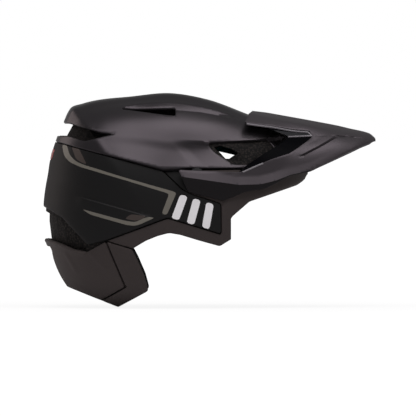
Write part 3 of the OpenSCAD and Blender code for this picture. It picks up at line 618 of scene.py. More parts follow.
def cut_sheet(form, name, lines, inside, lift, finishes, depth, thick, edge, grid, inks=(), creases=(),
              soft=None, both=True):
    """A moulded sheet cut from a form: rounded rims, inner face, raised or sunk detail and inlaid colours.

    lines are closed outlines on the flat sheet, inside(points) says which places belong to the piece,
    lift(points) raises its face, inks are (outline, place in finishes) in the side view, creases are lines
    of the side view that the mesh follows, and soft(points) gives the rim's own radius."""
    midline = (form.midline(LINE_STEP), form.MID_CLOSED)
    rows, corners = rim_rows(form, lines, inside, midline, edge)
    drawn = [(trace(form, outline), True) for outline, _ in inks]
    drawn += [(trace(form, crease, False), False) for crease in creases]
    fence = np.vstack([line for line, _ in rows + drawn + [midline]])
    v, f = triangles(rows + [midline] + drawn, grid_points(form, inside, corners, grid, fence))
    f = kept_faces(form, inside, v, f)
    used = np.unique(f)
    v, f = v[used], renumbered(len(v), used)[f]
    mid = form.on_mid(v)
    v[mid] = np.array([form.onto_mid(p) for p in v[mid]]).reshape(-1, 2)
    base = form.solid(v, depth)
    base[mid, 1] = 0
    rims = np.array(rim_of(f, mid))
    radius = edge if soft is None else soft(base)
    raised = lift(base)
    outer = form.solid(v, depth + rim_fall(base, rims, radius, thick) - raised)
    inner = form.solid(v, depth + thick + np.maximum(0, -raised))
    outer[mid, 1] = 0
    inner[mid, 1] = 0
    centre = base[f].mean(1)[:, [0, 2]]
    tints = np.zeros(len(f), int)
    for outline, ink in inks:
        tints[within(centre, outline)] = ink
    return sheet_mesh(name, outer, inner, f, rims, mid, tints, [MATERIALS[key] for key in finishes], both)


def sheet_mesh(name, outer, inner, f, rims, mid, tints, materials, both):
    """Closed mesh from a sheet's two faces and its rims, mirrored to the right where both is true."""
    n = len(outer)
    faces = [tuple(t) for t in f] + [(t[2] + n, t[1] + n, t[0] + n) for t in f]
    faces += [(b, a, a + n, b + n) for a, b in rims]
    slots = list(tints) + [0] * (len(f) + len(rims))
    points = np.vstack([outer, inner])
    normal = np.cross(outer[f[:, 1]] - outer[f[:, 0]], outer[f[:, 2]] - outer[f[:, 0]])
    if np.sum(normal * (outer - inner)[f].mean(1)) < 0:
        faces = [t[::-1] for t in faces]
    if both:
        m = len(points)
        other = np.where(np.r_[mid, mid], np.arange(m), np.arange(m, 2 * m))
        points = np.vstack([points, points * [1, -1, 1]])
        faces += [tuple(int(other[i]) for i in t[::-1]) for t in faces]
        slots = slots * 2
    used = np.unique([i for t in faces for i in t])
    index = renumbered(len(points), used)
    return solid_mesh(name, points[used], [tuple(int(index[i]) for i in t) for t in faces], materials, slots)


def linked(name, data):
    """A new object in the scene that shows the data."""
    obj = bpy.data.objects.new(name, data)
    bpy.context.scene.collection.objects.link(obj)
    return obj


def solid_mesh(name, points, faces, materials, slots=None, crisp=38):
    """Mesh object from points in mm, smooth but for edges sharper than crisp degrees."""
    mesh = bpy.data.meshes.new(name)
    mesh.from_pydata([tuple(p) for p in np.asarray(points) * MM], [], faces)
    for m in materials:
        mesh.materials.append(m)
    if slots is not None:
        mesh.polygons.foreach_set("material_index", np.array(slots, np.int32))
    mesh.validate(verbose=False)
    mesh.polygons.foreach_set("use_smooth", np.ones(len(mesh.polygons), bool))
    mesh.set_sharp_from_angle(angle=math.radians(crisp))
    mesh.update()
    return linked(name, mesh)


def seated(obj, body, slot, *nodes):
    """The piece rides on its body and stands for the nodes, which it hides; the slot is not used."""
    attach(obj, body)
    if nodes:
        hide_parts(*nodes)


# Shader groups
HALF_TURN = 3.14159
DUST = (0.16, 0.15, 0.15, 1)
GROUPS = {}


def group(name, inputs, outputs):
    """An empty shader node group and its end nodes: inputs (name, type, default), outputs (name, type)."""
    g = bpy.data.node_groups.new(name, "ShaderNodeTree")
    for label, kind, value in inputs:
        s = g.interface.new_socket(label, in_out="INPUT", socket_type="NodeSocket" + kind)
        s.default_value = value
    for label, kind in outputs:
        g.interface.new_socket(label, in_out="OUTPUT", socket_type="NodeSocket" + kind)
    return g, g.nodes.new("NodeGroupInput"), g.nodes.new("NodeGroupOutput")


def feed(tree, socket, value):
    """Links a socket to another one, or gives it a constant."""
    if isinstance(value, bpy.types.NodeSocket):
        tree.links.new(value, socket)
    else:
        socket.default_value = value


def math_node(tree, operation, a, b=0.0):
    """The result of a calculation with two sockets or constants."""
    n = tree.nodes.new("ShaderNodeMath")
    n.operation = operation
    feed(tree, n.inputs[0], a)
    feed(tree, n.inputs[1], b)
    return n.outputs[0]


def object_space(tree):
    """Places on the piece in metres."""
    return tree.nodes.new("ShaderNodeTexCoord").outputs["Object"]


def noise(tree, vector, scale, detail, rough):
    """Cloudy values from 0 to 1."""
    n = tree.nodes.new("ShaderNodeTexNoise")
    for label, value in (("Vector", vector), ("Scale", scale), ("Detail", detail), ("Roughness", rough)):
        feed(tree, n.inputs[label], value)
    return n.outputs[0]


def colour_mix(tree, share, first, second):
    """The first colour, turned into the second by a share from 0 to 1."""
    n = tree.nodes.new("ShaderNodeMix")
    n.data_type = "RGBA"
    for label, value in (("Factor", share), ("A", first), ("B", second)):
        feed(tree, n.inputs[label], value)
    return n.outputs["Result"]


def ranged(tree, value, low, high, to_low=0.0, to_high=1.0):
    """A value moved from one range to another and held inside it."""
    n = tree.nodes.new("ShaderNodeMapRange")
    limits = (("From Min", low), ("From Max", high), ("To Min", to_low), ("To Max", to_high))
    for label, limit in (("Value", value),) + limits:
        feed(tree, n.inputs[label], limit)
    return n.outputs[0]


def moulded_grain():
    """Fine spark-eroded texture of a moulded skin: height, and a value that varies the gloss."""
    inputs = [("Grain per metre", "Float", 1500.0), ("Gloss", "Float", 0.5), ("Gloss change", "Float", 0.06)]
    g, i, o = group("Moulded grain", inputs, [("Height", "Float"), ("Roughness", "Float")])
    p = object_space(g)
    feed(g, o.inputs["Height"], noise(g, p, i.outputs["Grain per metre"], 2.0, 0.6))
    patches = math_node(g, "SUBTRACT", noise(g, p, 38.0, 3.0, 0.55), 0.5)
    grains = math_node(g, "SUBTRACT", noise(g, p, 900.0, 1.0, 0.5), 0.5)
    uneven = math_node(g, "ADD", patches, math_node(g, "MULTIPLY", grains, 0.6))
    change = math_node(g, "MULTIPLY", uneven, i.outputs["Gloss change"])
    feed(g, o.inputs["Roughness"], math_node(g, "ADD", i.outputs["Gloss"], change))
    return g


def mottled():
    """A colour with a slight cloudy change and tiny specks of dust."""
    inputs = [("Colour", "Color", (0.02, 0.02, 0.02, 1)), ("Second", "Color", (0.03, 0.03, 0.03, 1)),
              ("Cloud per metre", "Float", 20.0), ("Specks", "Float", 0.15)]
    g, i, o = group("Mottled colour", inputs, [("Colour", "Color")])
    p = object_space(g)
    cloud = noise(g, p, i.outputs["Cloud per metre"], 4.0, 0.6)
    clouded = colour_mix(g, cloud, i.outputs["Colour"], i.outputs["Second"])
    specks = ranged(g, noise(g, p, 1300.0, 2.0, 0.7), 0.62, 0.8)
    dusty = colour_mix(g, math_node(g, "MULTIPLY", specks, i.outputs["Specks"]), clouded, DUST)
    feed(g, o.inputs["Colour"], dusty)
    return g


def beaded():
    """Expanded foam: round beads pressed together, with a painted highlight on each bead's top, made uneven
    by noise.
    """
    inputs = [("Colour", "Color", (0.01, 0.01, 0.01, 1)), ("Bead tops", "Color", (0.06, 0.055, 0.055, 1)),
              ("Beads per metre", "Float", 420.0)]
    g, i, o = group("Foam beads", inputs, [("Colour", "Color"), ("Height", "Float")])
    p = object_space(g)
    cells = g.nodes.new("ShaderNodeTexVoronoi")
    cells.feature = "F1"
    feed(g, cells.inputs["Vector"], p)
    feed(g, cells.inputs["Scale"], i.outputs["Beads per metre"])
    top = math_node(g, "SUBTRACT", 0.75, cells.outputs["Distance"])
    crest = math_node(g, "POWER", math_node(g, "MAXIMUM", top, 0.0), 1.6)
    # Lighter colour on each bead's crest: a painted highlight, made uneven by noise
    light = math_node(g, "MULTIPLY", crest, noise(g, p, 900.0, 2.0, 0.7))
    feed(g, o.inputs["Colour"], colour_mix(g, light, i.outputs["Colour"], i.outputs["Bead tops"]))
    feed(g, o.inputs["Height"], top)
    return g


def woven():
    """Plain weave or knit by threads that cross along two directions of a map in metres."""
    inputs = [("Map", "Vector", (0, 0, 0)), ("Threads per metre", "Float", 1100.0),
              ("Colour", "Color", (0.01, 0.01, 0.011, 1)), ("Worn colour", "Color", (0.04, 0.04, 0.042, 1))]
    g, i, o = group("Woven threads", inputs, [("Colour", "Color"), ("Height", "Float")])
    axes = g.nodes.new("ShaderNodeSeparateXYZ")
    feed(g, axes.inputs[0], i.outputs["Map"])
    waves = []
    for k in (0, 1):
        threads = math_node(g, "MULTIPLY", axes.outputs[k], i.outputs["Threads per metre"])
        waves.append(math_node(g, "SINE", math_node(g, "MULTIPLY", threads, HALF_TURN)))
    cross = math_node(g, "MULTIPLY", waves[0], waves[1])
    height = math_node(g, "ADD", math_node(g, "MULTIPLY", cross, 0.5), 0.5)
    fuzz = noise(g, object_space(g), 700.0, 3.0, 0.7)
    worn = math_node(g, "MULTIPLY", height, fuzz)
    feed(g, o.inputs["Colour"], colour_mix(g, worn, i.outputs["Colour"], i.outputs["Worn colour"]))
    feed(g, o.inputs["Height"], math_node(g, "ADD", height, math_node(g, "MULTIPLY", fuzz, 0.3)))
    return g


def place_group(tree, make, **values):
    """A shader group in a material with the material's own values: make builds it the first time."""
    if make not in GROUPS:
        GROUPS[make] = make()
    n = tree.nodes.new("ShaderNodeGroup")
    n.node_tree = GROUPS[make]
    for key, value in values.items():
        n.inputs[key.replace("_", " ")].default_value = value
    return n


def bump(tree, shader, height, distance, strength=1.0):
    """Gives a shader a fine relief, whose full height is a distance in metres."""
    b = tree.nodes.new("ShaderNodeBump")
    b.inputs["Strength"].default_value = strength
    b.inputs["Distance"].default_value = distance
    tree.links.new(height, b.inputs["Height"])
    tree.links.new(b.outputs[0], shader.inputs["Normal"])


def tone(rgb):
    """A colour as a socket takes it."""
    return (rgb[0], rgb[1], rgb[2], 1.0)


# Materials
def plain(name, **values):
    """A new material with its node tree and its shader, whose inputs take the values."""
    m = bpy.data.materials.new(name)
    m.use_nodes = True
    s = m.node_tree.nodes["Principled BSDF"]
    for key, value in values.items():
        s.inputs[key.replace("_", " ")].default_value = value
    return m, m.node_tree, s


def plastic(name, colour, rough, grain=1500.0, depth=0.00004, change=0.08, second=1.35, specks=0.04, coat=0.0,
            specular=0.5, tint=(1, 1, 1)):
    """Moulded plastic with its grain, slight colour clouding and uneven gloss."""
    m, t, s = plain(name, Specular_IOR_Level=specular, Specular_Tint=tone(tint), Coat_Weight=coat,
                    Coat_Roughness=0.12)
    g = place_group(t, moulded_grain, Grain_per_metre=grain, Gloss=rough, Gloss_change=change)
    c = place_group(t, mottled, Colour=tone(colour), Second=tone([v * second for v in colour]),
                    Cloud_per_metre=18.0, Specks=specks)
    t.links.new(c.outputs[0], s.inputs["Base Color"])
    t.links.new(g.outputs["Roughness"], s.inputs["Roughness"])
    bump(t, s, g.outputs["Height"], depth)
    return m


def steel(name, colour):
    """Plated steel with a fine grain and uneven gloss."""
    m, t, s = plain(name, Base_Color=tone(colour), Metallic=1.0)
    g = place_group(t, moulded_grain, Grain_per_metre=2500.0, Gloss=0.32, Gloss_change=0.1)
    t.links.new(g.outputs["Roughness"], s.inputs["Roughness"])
    bump(t, s, g.outputs["Height"], 0.00001)
    return m


def foam(name, colour, tops, beads=420.0):
    """Expanded foam with its beads, whose tops carry a painted highlight."""
    m, t, s = plain(name, Roughness=0.75, Specular_IOR_Level=0.15)
    g = place_group(t, beaded, Colour=tone(colour), Bead_tops=tone(tops), Beads_per_metre=beads)
    t.links.new(g.outputs["Colour"], s.inputs["Base Color"])
    bump(t, s, g.outputs["Height"], 0.0004, 0.7)
    return m


def cloth(name, colour, worn, threads, mapped):
    """Woven or knitted cloth: mapped says whether the piece carries its own map in metres."""
    m, t, s = plain(name, Roughness=0.85, Sheen_Weight=0.25, Sheen_Roughness=0.5)
    g = place_group(t, woven, Threads_per_metre=threads, Colour=tone(colour), Worn_colour=tone(worn))
    if mapped:
        uv = t.nodes.new("ShaderNodeUVMap")
        uv.uv_map = "thread"
        t.links.new(uv.outputs[0], g.inputs["Map"])
    else:
        t.links.new(object_space(t), g.inputs["Map"])
    t.links.new(g.outputs["Colour"], s.inputs["Base Color"])
    bump(t, s, g.outputs["Height"], 0.0002, 0.8)
    return m


# Tints of the edge reflections
PURPLE = (1.0, 0.88, 0.97)
WARM = (1.0, 0.86, 0.84)
MATERIALS = {}


def make_materials(k):
    """Every finish of the helmet, from the colours in the settings."""
    # A darker copy of the bevel gloss for the lower window bevel, as painted shade under the window
    shaded_bevel_colour = [v * 0.3 for v in k.bevel_colour]
    MATERIALS.update(
        crown=plastic("Satin upper skin", k.crown_colour, 0.34, 1100.0, 0.000012, 0.05, specular=0.4,
                      tint=PURPLE),
        wrap=plastic("Wrap matt", k.wrap_colour, 0.6, 1500.0, 0.00002, 0.05, specular=0.24),
        trim=plastic("Trim matt", k.trim_colour, 0.6, 1500.0, 0.00003, 0.05, specular=0.45, tint=WARM),
        visor=plastic("Visor matt", k.visor_colour, 0.52, 1400.0, 0.00004, 0.06, specks=0.1, specular=0.72,
                      tint=PURPLE),
        arm=plastic("Visor arm matt", k.visor_colour, 0.6, 1400.0, 0.00004, 0.06, second=1.2, specular=0.1),
        bevel=plastic("Bevel gloss", k.bevel_colour, 0.12, 500.0, 0.000002, 0.03, specular=0.05),
        deep_gloss=plastic("Bevel gloss, painted shade", shaded_bevel_colour, 0.3, 500.0, 0.000002, 0.03, specular=0.012),
        # The edges' pale base colour is a painted highlight along the windows' rounded edges
        bead=plastic("Pale edge, painted highlight", k.edge_highlight_colour, 0.34, 500.0, 0.000002, 0.03, specular=0.6),
        olive=plastic("Olive stripe", k.olive_colour, 0.5, 1500.0, 0.00002, 0.05),
        brown=plastic("Brown patch", k.brown_colour, 0.55, 1500.0, 0.00002, 0.05),
        pale=plastic("Pale stripe", k.pale_colour, 0.5, 1500.0, 0.00001, 0.05, second=0.93, specks=0.0),
        reflector=plastic("Red reflector", k.reflector_colour, 0.15, 300.0, 0.00005, 0.05, coat=0.5),
        # The foam's second colour is a painted highlight on its bead tops
        foam=foam("Black foam", (0.003, 0.0028, 0.0028), (0.10, 0.078, 0.070)),
        slip=plastic("Teal slip liner", k.slip_colour, 0.35, 600.0, 0.00001, 0.05),
        rubber=plastic("Rubber", (0.03, 0.012, 0.012), 0.7, 1500.0, 0.00005),
        fitting=plastic("Nylon fitting", (0.016, 0.016, 0.017), 0.45, 1700.0, 0.00003),
        knob=plastic("Dial rubber", (0.022, 0.021, 0.022), 0.62, 1700.0, 0.00004),
        acetal=plastic("Acetal pinion", (0.55, 0.53, 0.47), 0.35, 900.0, 0.00001, specks=0.0),
        pad=cloth("Pad knit", (0.012, 0.012, 0.013), (0.06, 0.058, 0.06), 700.0, False),
        piping=cloth("Pad piping", (0.02, 0.045, 0.048), (0.05, 0.08, 0.085), 900.0, False),
        webbing=cloth("Strap webbing", (0.010, 0.010, 0.011), (0.05, 0.05, 0.053), 1200.0, True),
        stitch=cloth("Stitching thread", (0.06, 0.06, 0.062), (0.12, 0.12, 0.12), 2500.0, False),
        steel=steel("Plated steel", (0.35, 0.35, 0.36)),
    )


def dress(node, finish):
    """Gives a CAD node its finish, with smooth shading over its facets."""
    mesh = NODES[node].data
    mesh.materials.clear()
    mesh.materials.append(MATERIALS[finish])
    mesh.polygons.foreach_set("use_smooth", np.ones(len(mesh.polygons), bool))
    mesh.set_sharp_from_angle(angle=math.radians(32))


def welded(node, name, finish):
    """A copy of a CAD node with its facets joined, so that its round faces shade smoothly."""
    b = bmesh.new()
    b.from_mesh(NODES[node].data)
    bmesh.ops.remove_doubles(b, verts=b.verts, dist=0.01 * MM)
    points, faces = [v.co / MM for v in b.verts], [tuple(v.index for v in f.verts) for f in b.faces]
    b.free()
    return solid_mesh(name, points, faces, [MATERIALS[finish]])


# Settings
def colour(name, words, value):
    """A colour that the user can change."""
    return bpy.props.FloatVectorProperty(name=name, description=words, default=value, subtype="COLOR", size=3,
                                         min=0, max=1)


def length(name, words, value):
    """A length that the user can change, with its default in mm."""
    return bpy.props.FloatProperty(name=name, description=words, default=value * MM, min=0, unit="LENGTH",
                                   subtype="DISTANCE")


class HelmetFinishes(bpy.types.PropertyGroup):
    """Colours of the helmet."""

    crown_colour: colour("Crown", "Colour of the satin crown", (0.0085, 0.0078, 0.0085))
    wrap_colour: colour("Side wrap", "Colour of the matt side wrap", (0.0030, 0.0028, 0.0030))
    trim_colour: colour("Trim", "Colour of the lower trim, neck and ear covers", (0.0225, 0.0182, 0.0178))
    visor_colour: colour("Visor", "Colour of the matt visor", (0.0105, 0.0092, 0.0102))
    bevel_colour: colour("Bevels", "Colour of the gloss bevels of the windows", (0.006, 0.006, 0.008))
    # The pale colour of the windows' rounded edges is a painted highlight
    edge_highlight_colour: colour("Edges", "Pale colour of the rounded edges of the visor's windows, a painted highlight", (0.15, 0.138, 0.152))
    olive_colour: colour("Stripe", "Colour of the olive stripes", (0.125, 0.115, 0.096))
    brown_colour: colour("Patch", "Colour of the brown patches beside the stripes", (0.034, 0.023, 0.019))
    pale_colour: colour("Bars", "Colour of the slanted bars", (0.9, 0.885, 0.905))
    reflector_colour: colour("Reflector", "Colour of the rear reflector", (0.42, 0.03, 0.02))
    slip_colour: colour("Slip liner", "Colour of the slip liner", (0.010, 0.085, 0.088))


class HelmetShells(bpy.types.PropertyGroup):
    """Sizes of the outer skins."""

    seam: length("Seam", "Width of the seams between the skins", 0.8)
    skin: length("Skin", "Thickness of the outer skins", 2.2)
    rim: length("Rim radius", "Radius of the skins' edges", 0.9)
    free_rim: length("Free rim radius", "Radius of the edges that meet no other skin", 2.0)
    trim_inset: length("Trim inset", "Depth of the lower trim behind the side wrap", 1.2)
    mesh: length("Mesh size", "Distance between the points of the skins", 2.2)


class HelmetSoft(bpy.types.PropertyGroup):
    """Sizes of the pads and straps."""

    pad_mesh: length("Pad mesh", "Distance between the points of the pads", 2.4)
    pad_swell: length("Pad swell", "Furthest that a pad's cover bulges under its filling", 0.9)
    piping: length("Piping radius", "Radius of the piped seam round each pad", 0.7)
    strap_width: length("Strap width", "Width of the webbing", 15)
    strap_thickness: length("Strap thickness", "Thickness of the webbing", 1.5)
    stitch: length("Stitch", "Length of one stitch", 1.6)


class HelmetStage(bpy.types.PropertyGroup):
    """Camera, floor and light."""

    distance: length("Camera distance", "Distance of the camera from the helmet", 12000)
    elevation: bpy.props.FloatProperty(name="Camera height", default=math.radians(0.6), unit="ROTATION",
                                       subtype="ANGLE", description="Angle above the horizontal")
    mm_a_pixel: bpy.props.FloatProperty(name="Scale", default=1.08, min=0.1,
                                        description="Millimetres that one pixel of the picture covers")
    light: bpy.props.FloatProperty(name="Light", default=1.0, min=0,
                                   description="Strength of the studio light")
    floor_colour: colour("Floor", "Colour of the floor and backdrop", (0.86, 0.86, 0.86))


def mm(value):
    """A length of the settings in mm."""
    return value / MM


# Lines and relief of the skins, in mm
def ring_at(y):
    """Closed line on the flat sheet at one distance from the centre plane."""
    a = np.linspace(0, 360, 240)[:-1]
    return SHELL.place(a, np.full(len(a), arch(y / SHELL.HALF_W, SHELL.FULLNESS)))


def seen(outline, axis, ways):
    """An outline seen along x or z, drawn on the flat sheet between two directions from the ear."""
    return spaced(SHELL.flat_seen(spaced(outline, 1.0, True), axis, ways), LINE_STEP, True)


def twin(obj, name):
    """A mirrored copy of a left piece, for the right."""
    mesh = obj.data.copy()
    mesh.name = name
    mesh.transform(Matrix.Scale(-1, 4, (0, 1, 0)))
    mesh.flip_normals()
    return linked(name, mesh)


def rise(v, start, width):
    """0 up to the start, rising smoothly to 1 over a width."""
    return ease((v - start) / width)


def fall(v, end, width):
    """1 at first, falling smoothly over a width to 0 at the end."""
    return ease((end - v) / width)


def off_centre(p, start, width):
    """0 near the centre plane, rising to 1 over a width that starts at a distance from it."""
    return rise(np.abs(p[:, 1]), start, width)


def ridge_line(p, line, height, half):
    """Raised line in the side view, with soft sides."""
    gap, _ = line_gap(p[:, [0, 2]], line)
    return height * np.exp(-((gap / half) ** 2))


def beside_line(line, gap):
    """The line moved to its left by a gap, or to its right where the gap is negative."""
    p = np.array(line, float)
    return [tuple(q) for q in p + unit(left_of(np.gradient(p, axis=0))) * gap]


# Lines of the skins in the side view, and the heights of their relief
CROWN_LIP = [(-112, 65.5), (-80, 56.8), (-9.2, 37.6), (21.6, 39.4), (73, 40)]
CROWN_FOLD = [(-78.8, 77.1), (-40, 75), (0.8, 69.8), (40, 68.2), (95, 71.3)]
CROWN_FACET = [(0, 68), (19, 45.4), (24, 40)]
SLOT_UPPER = [(-53.5, 104.0), (-38, 107.8), (-22.7, 109.8), (5.4, 110.2), (30.2, 105.8), (57.2, 98.7),
              (75, 92)]
SLOT_LOWER = [(-53.5, 103.0), (-20, 99.5), (5.4, 101.5), (30.2, 99.4), (57.2, 94.5), (75, 90)]
SLOT_CHANNEL = SLOT_UPPER + SLOT_LOWER[::-1]
FOLD_FRONT = [(-4, 70.4), (0.8, 69.8), (40, 68.2), (95, 71.3)]
# Widths of the steep walls between two creases
SLOT_WALL, FOLD_WALL, WRAP_WALL, GROOVE_WALL, LINE_WALL = 1.8, 1.6, 1.3, 1.5, 1.4
CROWN_CREASES = [SLOT_UPPER, SLOT_LOWER, beside_line(SLOT_LOWER, SLOT_WALL), FOLD_FRONT,
                 beside_line(FOLD_FRONT, -FOLD_WALL), CROWN_FACET]
BULGE, FLANGE_LIP, SLOT_DEPTH, FACET_DEPTH, REAR_LIP = 1.3, 2.6, 3.9, 1.7, 1.4


def crown_relief(p):
    """Bulge over a flared lower flange, a channel round the side slot, and a facet before the side vent."""
    xz = p[:, [0, 2]]
    over = side_of(xz, CROWN_FOLD)
    gap_fold, along = line_gap(xz, CROWN_FOLD)
    gap_lip, _ = line_gap(xz, CROWN_LIP)
    crisp = rise(along, 0.43, 0.3)
    down = gap_fold / (gap_fold + gap_lip + 1e-6)
    bulge = BULGE * rise(over, 0, 22) * fall(over, 52, 24)
    sink = 0.8 + 1.2 * crisp
    flange = -sink + (sink + FLANGE_LIP) * down**2
    edge = (1 - crisp) * fall(over, 0, 12) + crisp * np.clip(-over / FOLD_WALL, 0, 1)
    fade = rise(xz[:, 0], -92, 50)
    body = np.where(over > 0, bulge, flange * edge)
    gap_up, run = line_gap(xz, SLOT_UPPER)
    gap_low, _ = line_gap(xz, SLOT_LOWER)
    steep = gap_up / (gap_up + gap_low + 1e-6) * np.clip(gap_low / SLOT_WALL, 0, 1)
    channel = np.where(within(xz, SLOT_CHANNEL), -SLOT_DEPTH * steep * fall(run, 1, 0.25), 0)
    before = np.clip(side_of(xz, CROWN_FACET) / 10, 0, 1)
    facet = -FACET_DEPTH * before * fall(over, 0, 6) * (0.35 + 0.65 * down)
    lip = -REAR_LIP * fall(p[:, 2], 107, 17) * fall(p[:, 0], -70, 40) * (p[:, 2] > 83)
    return off_centre(p, 30, 20) * (body * fade + channel + facet) + lip


WRAP_CREASE = [(-104, 11.6), (-15.3, -13.3)]
WRAP_CREASES = [WRAP_CREASE, beside_line(WRAP_CREASE, -WRAP_WALL)]
LEDGE, INLAY_DEPTH = 1.1, 0.2


def wrap_relief(p):
    """A raised ledge below the crease, and inlays that lie a little below the face."""
    xz = p[:, [0, 2]]
    below = np.clip(-side_of(xz, WRAP_CREASE), 0, None)
    _, along = line_gap(xz, WRAP_CREASE)
    fade = ease(1 - (below - WRAP_WALL) / 18) * rise(along, 0, 0.125) * fall(along, 1, 0.125)
    ledge = LEDGE * np.clip(below / WRAP_WALL, 0, 1) * fade
    inlaid = np.any([within(xz, outline) for outline, _ in STRIPES], axis=0)
    return off_centre(p, 20, 20) * (ledge - INLAY_DEPTH * inlaid)


TRIM_CREASE = [(85.3, 22), (60, 10), (56, -8)]


def trim_relief(p):
    """A soft crease below the visor's pivot."""
    return off_centre(p, 30, 20) * ridge_line(p, TRIM_CREASE, 0.6, 3.0)


NECK_CREASES = ([(-131.8, -44.3), (-114.7, -50.4), (-103.7, -68.6)], [(-91, -47.5), (-71.3, -67)])
NECK_LIP = [(-150, -38), (-134, -38.4), (-119.9, -43.2), (-105.8, -49), (-94, -51)]


def neck_relief(p):
    """Two soft creases of the nape and the raised lip along its upper edge."""
    creases = sum(ridge_line(p, line, 0.6, 2.0) for line in NECK_CREASES)
    return off_centre(p, 10, 20) * creases + ridge_line(p, NECK_LIP, 1.3, 2.2)


VISOR_GROOVE = [(135.2, 52.4), (150, 60.6), (176.3, 73.6), (187.9, 75.0)]
VISOR_LINE = [(151.2, 78.5), (176, 75.6), (187.9, 75.0), (214, 71.5)]
ARM_CREASE = [(7, 33), (11.9, 31.3), (71.3, 22.7), (95, 23.2), (111.2, 27), (127.4, 33.2), (149, 38.2),
              (214, 68)]
VISOR_CREASES = [VISOR_GROOVE, beside_line(VISOR_GROOVE, GROOVE_WALL),
                 beside_line(VISOR_GROOVE, -GROOVE_WALL), VISOR_LINE, beside_line(VISOR_LINE, -LINE_WALL),
                 ARM_CREASE]
ARM_LOWER = ARM_CREASE[:-1] + [(152, 30), (127, 24), (112, 18), (100, 12), (78, 8), (55, 0), (36, 4), (6, 12)]
GROOVE_DEPTH, LINE_DEPTH, SIDE_RISE, SPINE_RISE, NOSE_DROP = 1.7, 0.9, 1.8, 1.6, 1.5


def visor_relief(p):
    """Side faces that lean in above a crease, the side grooves, the middle rise and the drooped nose."""
    xz = p[:, [0, 2]]
    gap, along = line_gap(xz, VISOR_GROOVE)
    groove = -GROOVE_DEPTH * np.clip(1 - gap / GROOVE_WALL, 0, 1) * rise(along, 0, 0.125)
    gap, along, side = nearest(xz, VISOR_LINE)
    ends = ease(along * 6) * ease((1 - along) * 6)
    line = -LINE_DEPTH * np.clip(1 - gap / LINE_WALL, 0, 1) * (gap * side < 0) * ends
    gap, _, side = nearest(xz, ARM_CREASE)
    front = rise(p[:, 0], 105, 30)
    far = (0.38 * np.clip(gap, 0, 8) + 0.2 * np.clip(gap - 8, 0, 22)) * fall(p[:, 0], 192, 50)
    up = (1 - front) * 0.46 * np.clip(gap, 0, 10) + front * far
    lean = SIDE_RISE - np.where(gap * side > 0, up, 0.32 * np.clip(gap, 0, 12))
    ahead = rise(p[:, 0], 78, 30) * fall(p[:, 0], 214, 40)
    spine = SPINE_RISE * np.exp(-((p[:, 1] / 16) ** 2)) * ahead
    nose = NOSE_R - np.hypot(p[:, 0] - (VISOR_FRONT - NOSE_R), p[:, 1])
    droop = -NOSE_DROP * ease(1 - nose / 9) ** 1.5 * rise(p[:, 0], 165, 20)
    return off_centre(p, 20, 12) * (groove + line) + off_centre(p, 42, 26) * lean + spine + droop


# Gloss bevels of the windows: name, finish, outer line and inner line
WINDOW_BEVELS = [
    # The lower bevel takes the darker copy of the gloss as painted shade
    ("lower_window_bevel", "deep_gloss",
     [(151.2, 77.9), (139, 67.9), (126.7, 57.9), (107.4, 49.7), (92, 43.4), (77.1, 37.2), (72, 36.3)],
     [(125.0, 73.6), (121, 70.2), (114, 65), (101, 57.4), (93.6, 52.4), (84, 46), (75.6, 40)]),
    ("upper_window_bevel", "bevel", [(79.8, 91.6), (102, 88.6), (125, 85.6), (147.3, 82.6), (151.2, 78.5)],
     [(88.1, 89.5), (97, 85.8), (106, 82), (123.9, 75.2), (125.0, 73.6)]),
]

# Depths of a bevel's edges: under the skin at its outer line, and inward at its inner line
BEVEL_UNDER = (0.6, 2.6)
BEVEL_INWARD = (9.0, 10.6)
BEVEL_STEP, EDGE_STEP = 3.0, 2.0

# Rounded edges of the windows, whose pale colour is a painted highlight: their radius, their lines, and the
# corner that leads inward
EDGE_R = 1.0
EDGE_SIDES = 10
WINDOW_EDGES = {
    "window_bead": [(80.5, 90.6), (102, 87.6), (125, 84.6), (146.4, 81.7), (150.4, 78.5)],
    "window_low_bead": [(76, 36.3), (78, 36.9), (90, 42.4), (98, 45.9)],
}
WINDOW_CORNER = [(150.8, 78.3), (125.0, 73.8)]
CORNER_INWARD = 8.8


def window_row(line, count, depth, on_skin=True):
    """Evenly spread points of a side-view line, under the visor's skin or inward from it."""
    even = VISOR.flat(evenly(np.array(line, float), count))
    points = VISOR.solid(even, 0)
    lift = np.minimum(visor_relief(points), BEVEL_UNDER[0])
    if on_skin:
        return VISOR.solid(even, depth - lift)
    points[:, 1] -= depth - lift
    return points


def window_bevel(name, finish, outer, inner):
    """Gloss face that leads from the window's outer edge in to the visor's inner face."""
    n = max(len(spaced(line, BEVEL_STEP, False)) for line in (outer, inner))
    rows = [window_row(outer, n, BEVEL_UNDER[0])]
    rows += [window_row(inner, n, depth, False) for depth in BEVEL_INWARD]
    rows.append(window_row(outer, n, BEVEL_UNDER[1]))
    faces = []
    for i in range(n - 1):
        for r in range(4):
            a, b = r * n + i, (r + 1) % 4 * n + i
            faces.append((a, a + 1, b + 1, b))
    faces += [(0, n, 2 * n, 3 * n), (n - 1, 4 * n - 1, 3 * n - 1, 2 * n - 1)]
    return solid_mesh(name, np.vstack(rows), faces, [MATERIALS[finish]], crisp=30)


# Operators, one for each piece or group of like pieces
def skin(k, name, lines, inside, lift, finishes, edge, depth=0.0, **more):
    """A sheet of the shell's form, at the thickness and mesh size of the skins."""
    return cut_sheet(SHELL, name, lines, inside, lift, finishes, depth, mm(k.skin), edge, mm(k.mesh), **more)


def piece_outline(k, outline, name):
    """A skin's outline, drawn in by half a seam and with its corners rounded."""
    return rounded(shrunk(outline, mm(k.seam) / 2), CORNERS[name])


def wide_along(k, line, below=math.inf):
    """Rim radii that are wide near a line where no other skin meets the piece, and below a height."""

    def soft(p):
        gap, _ = line_gap(p[:, [0, 2]], line)
        return np.where((gap < FREE_REACH) & (p[:, 2] < below), mm(k.free_rim), mm(k.rim))

    return soft


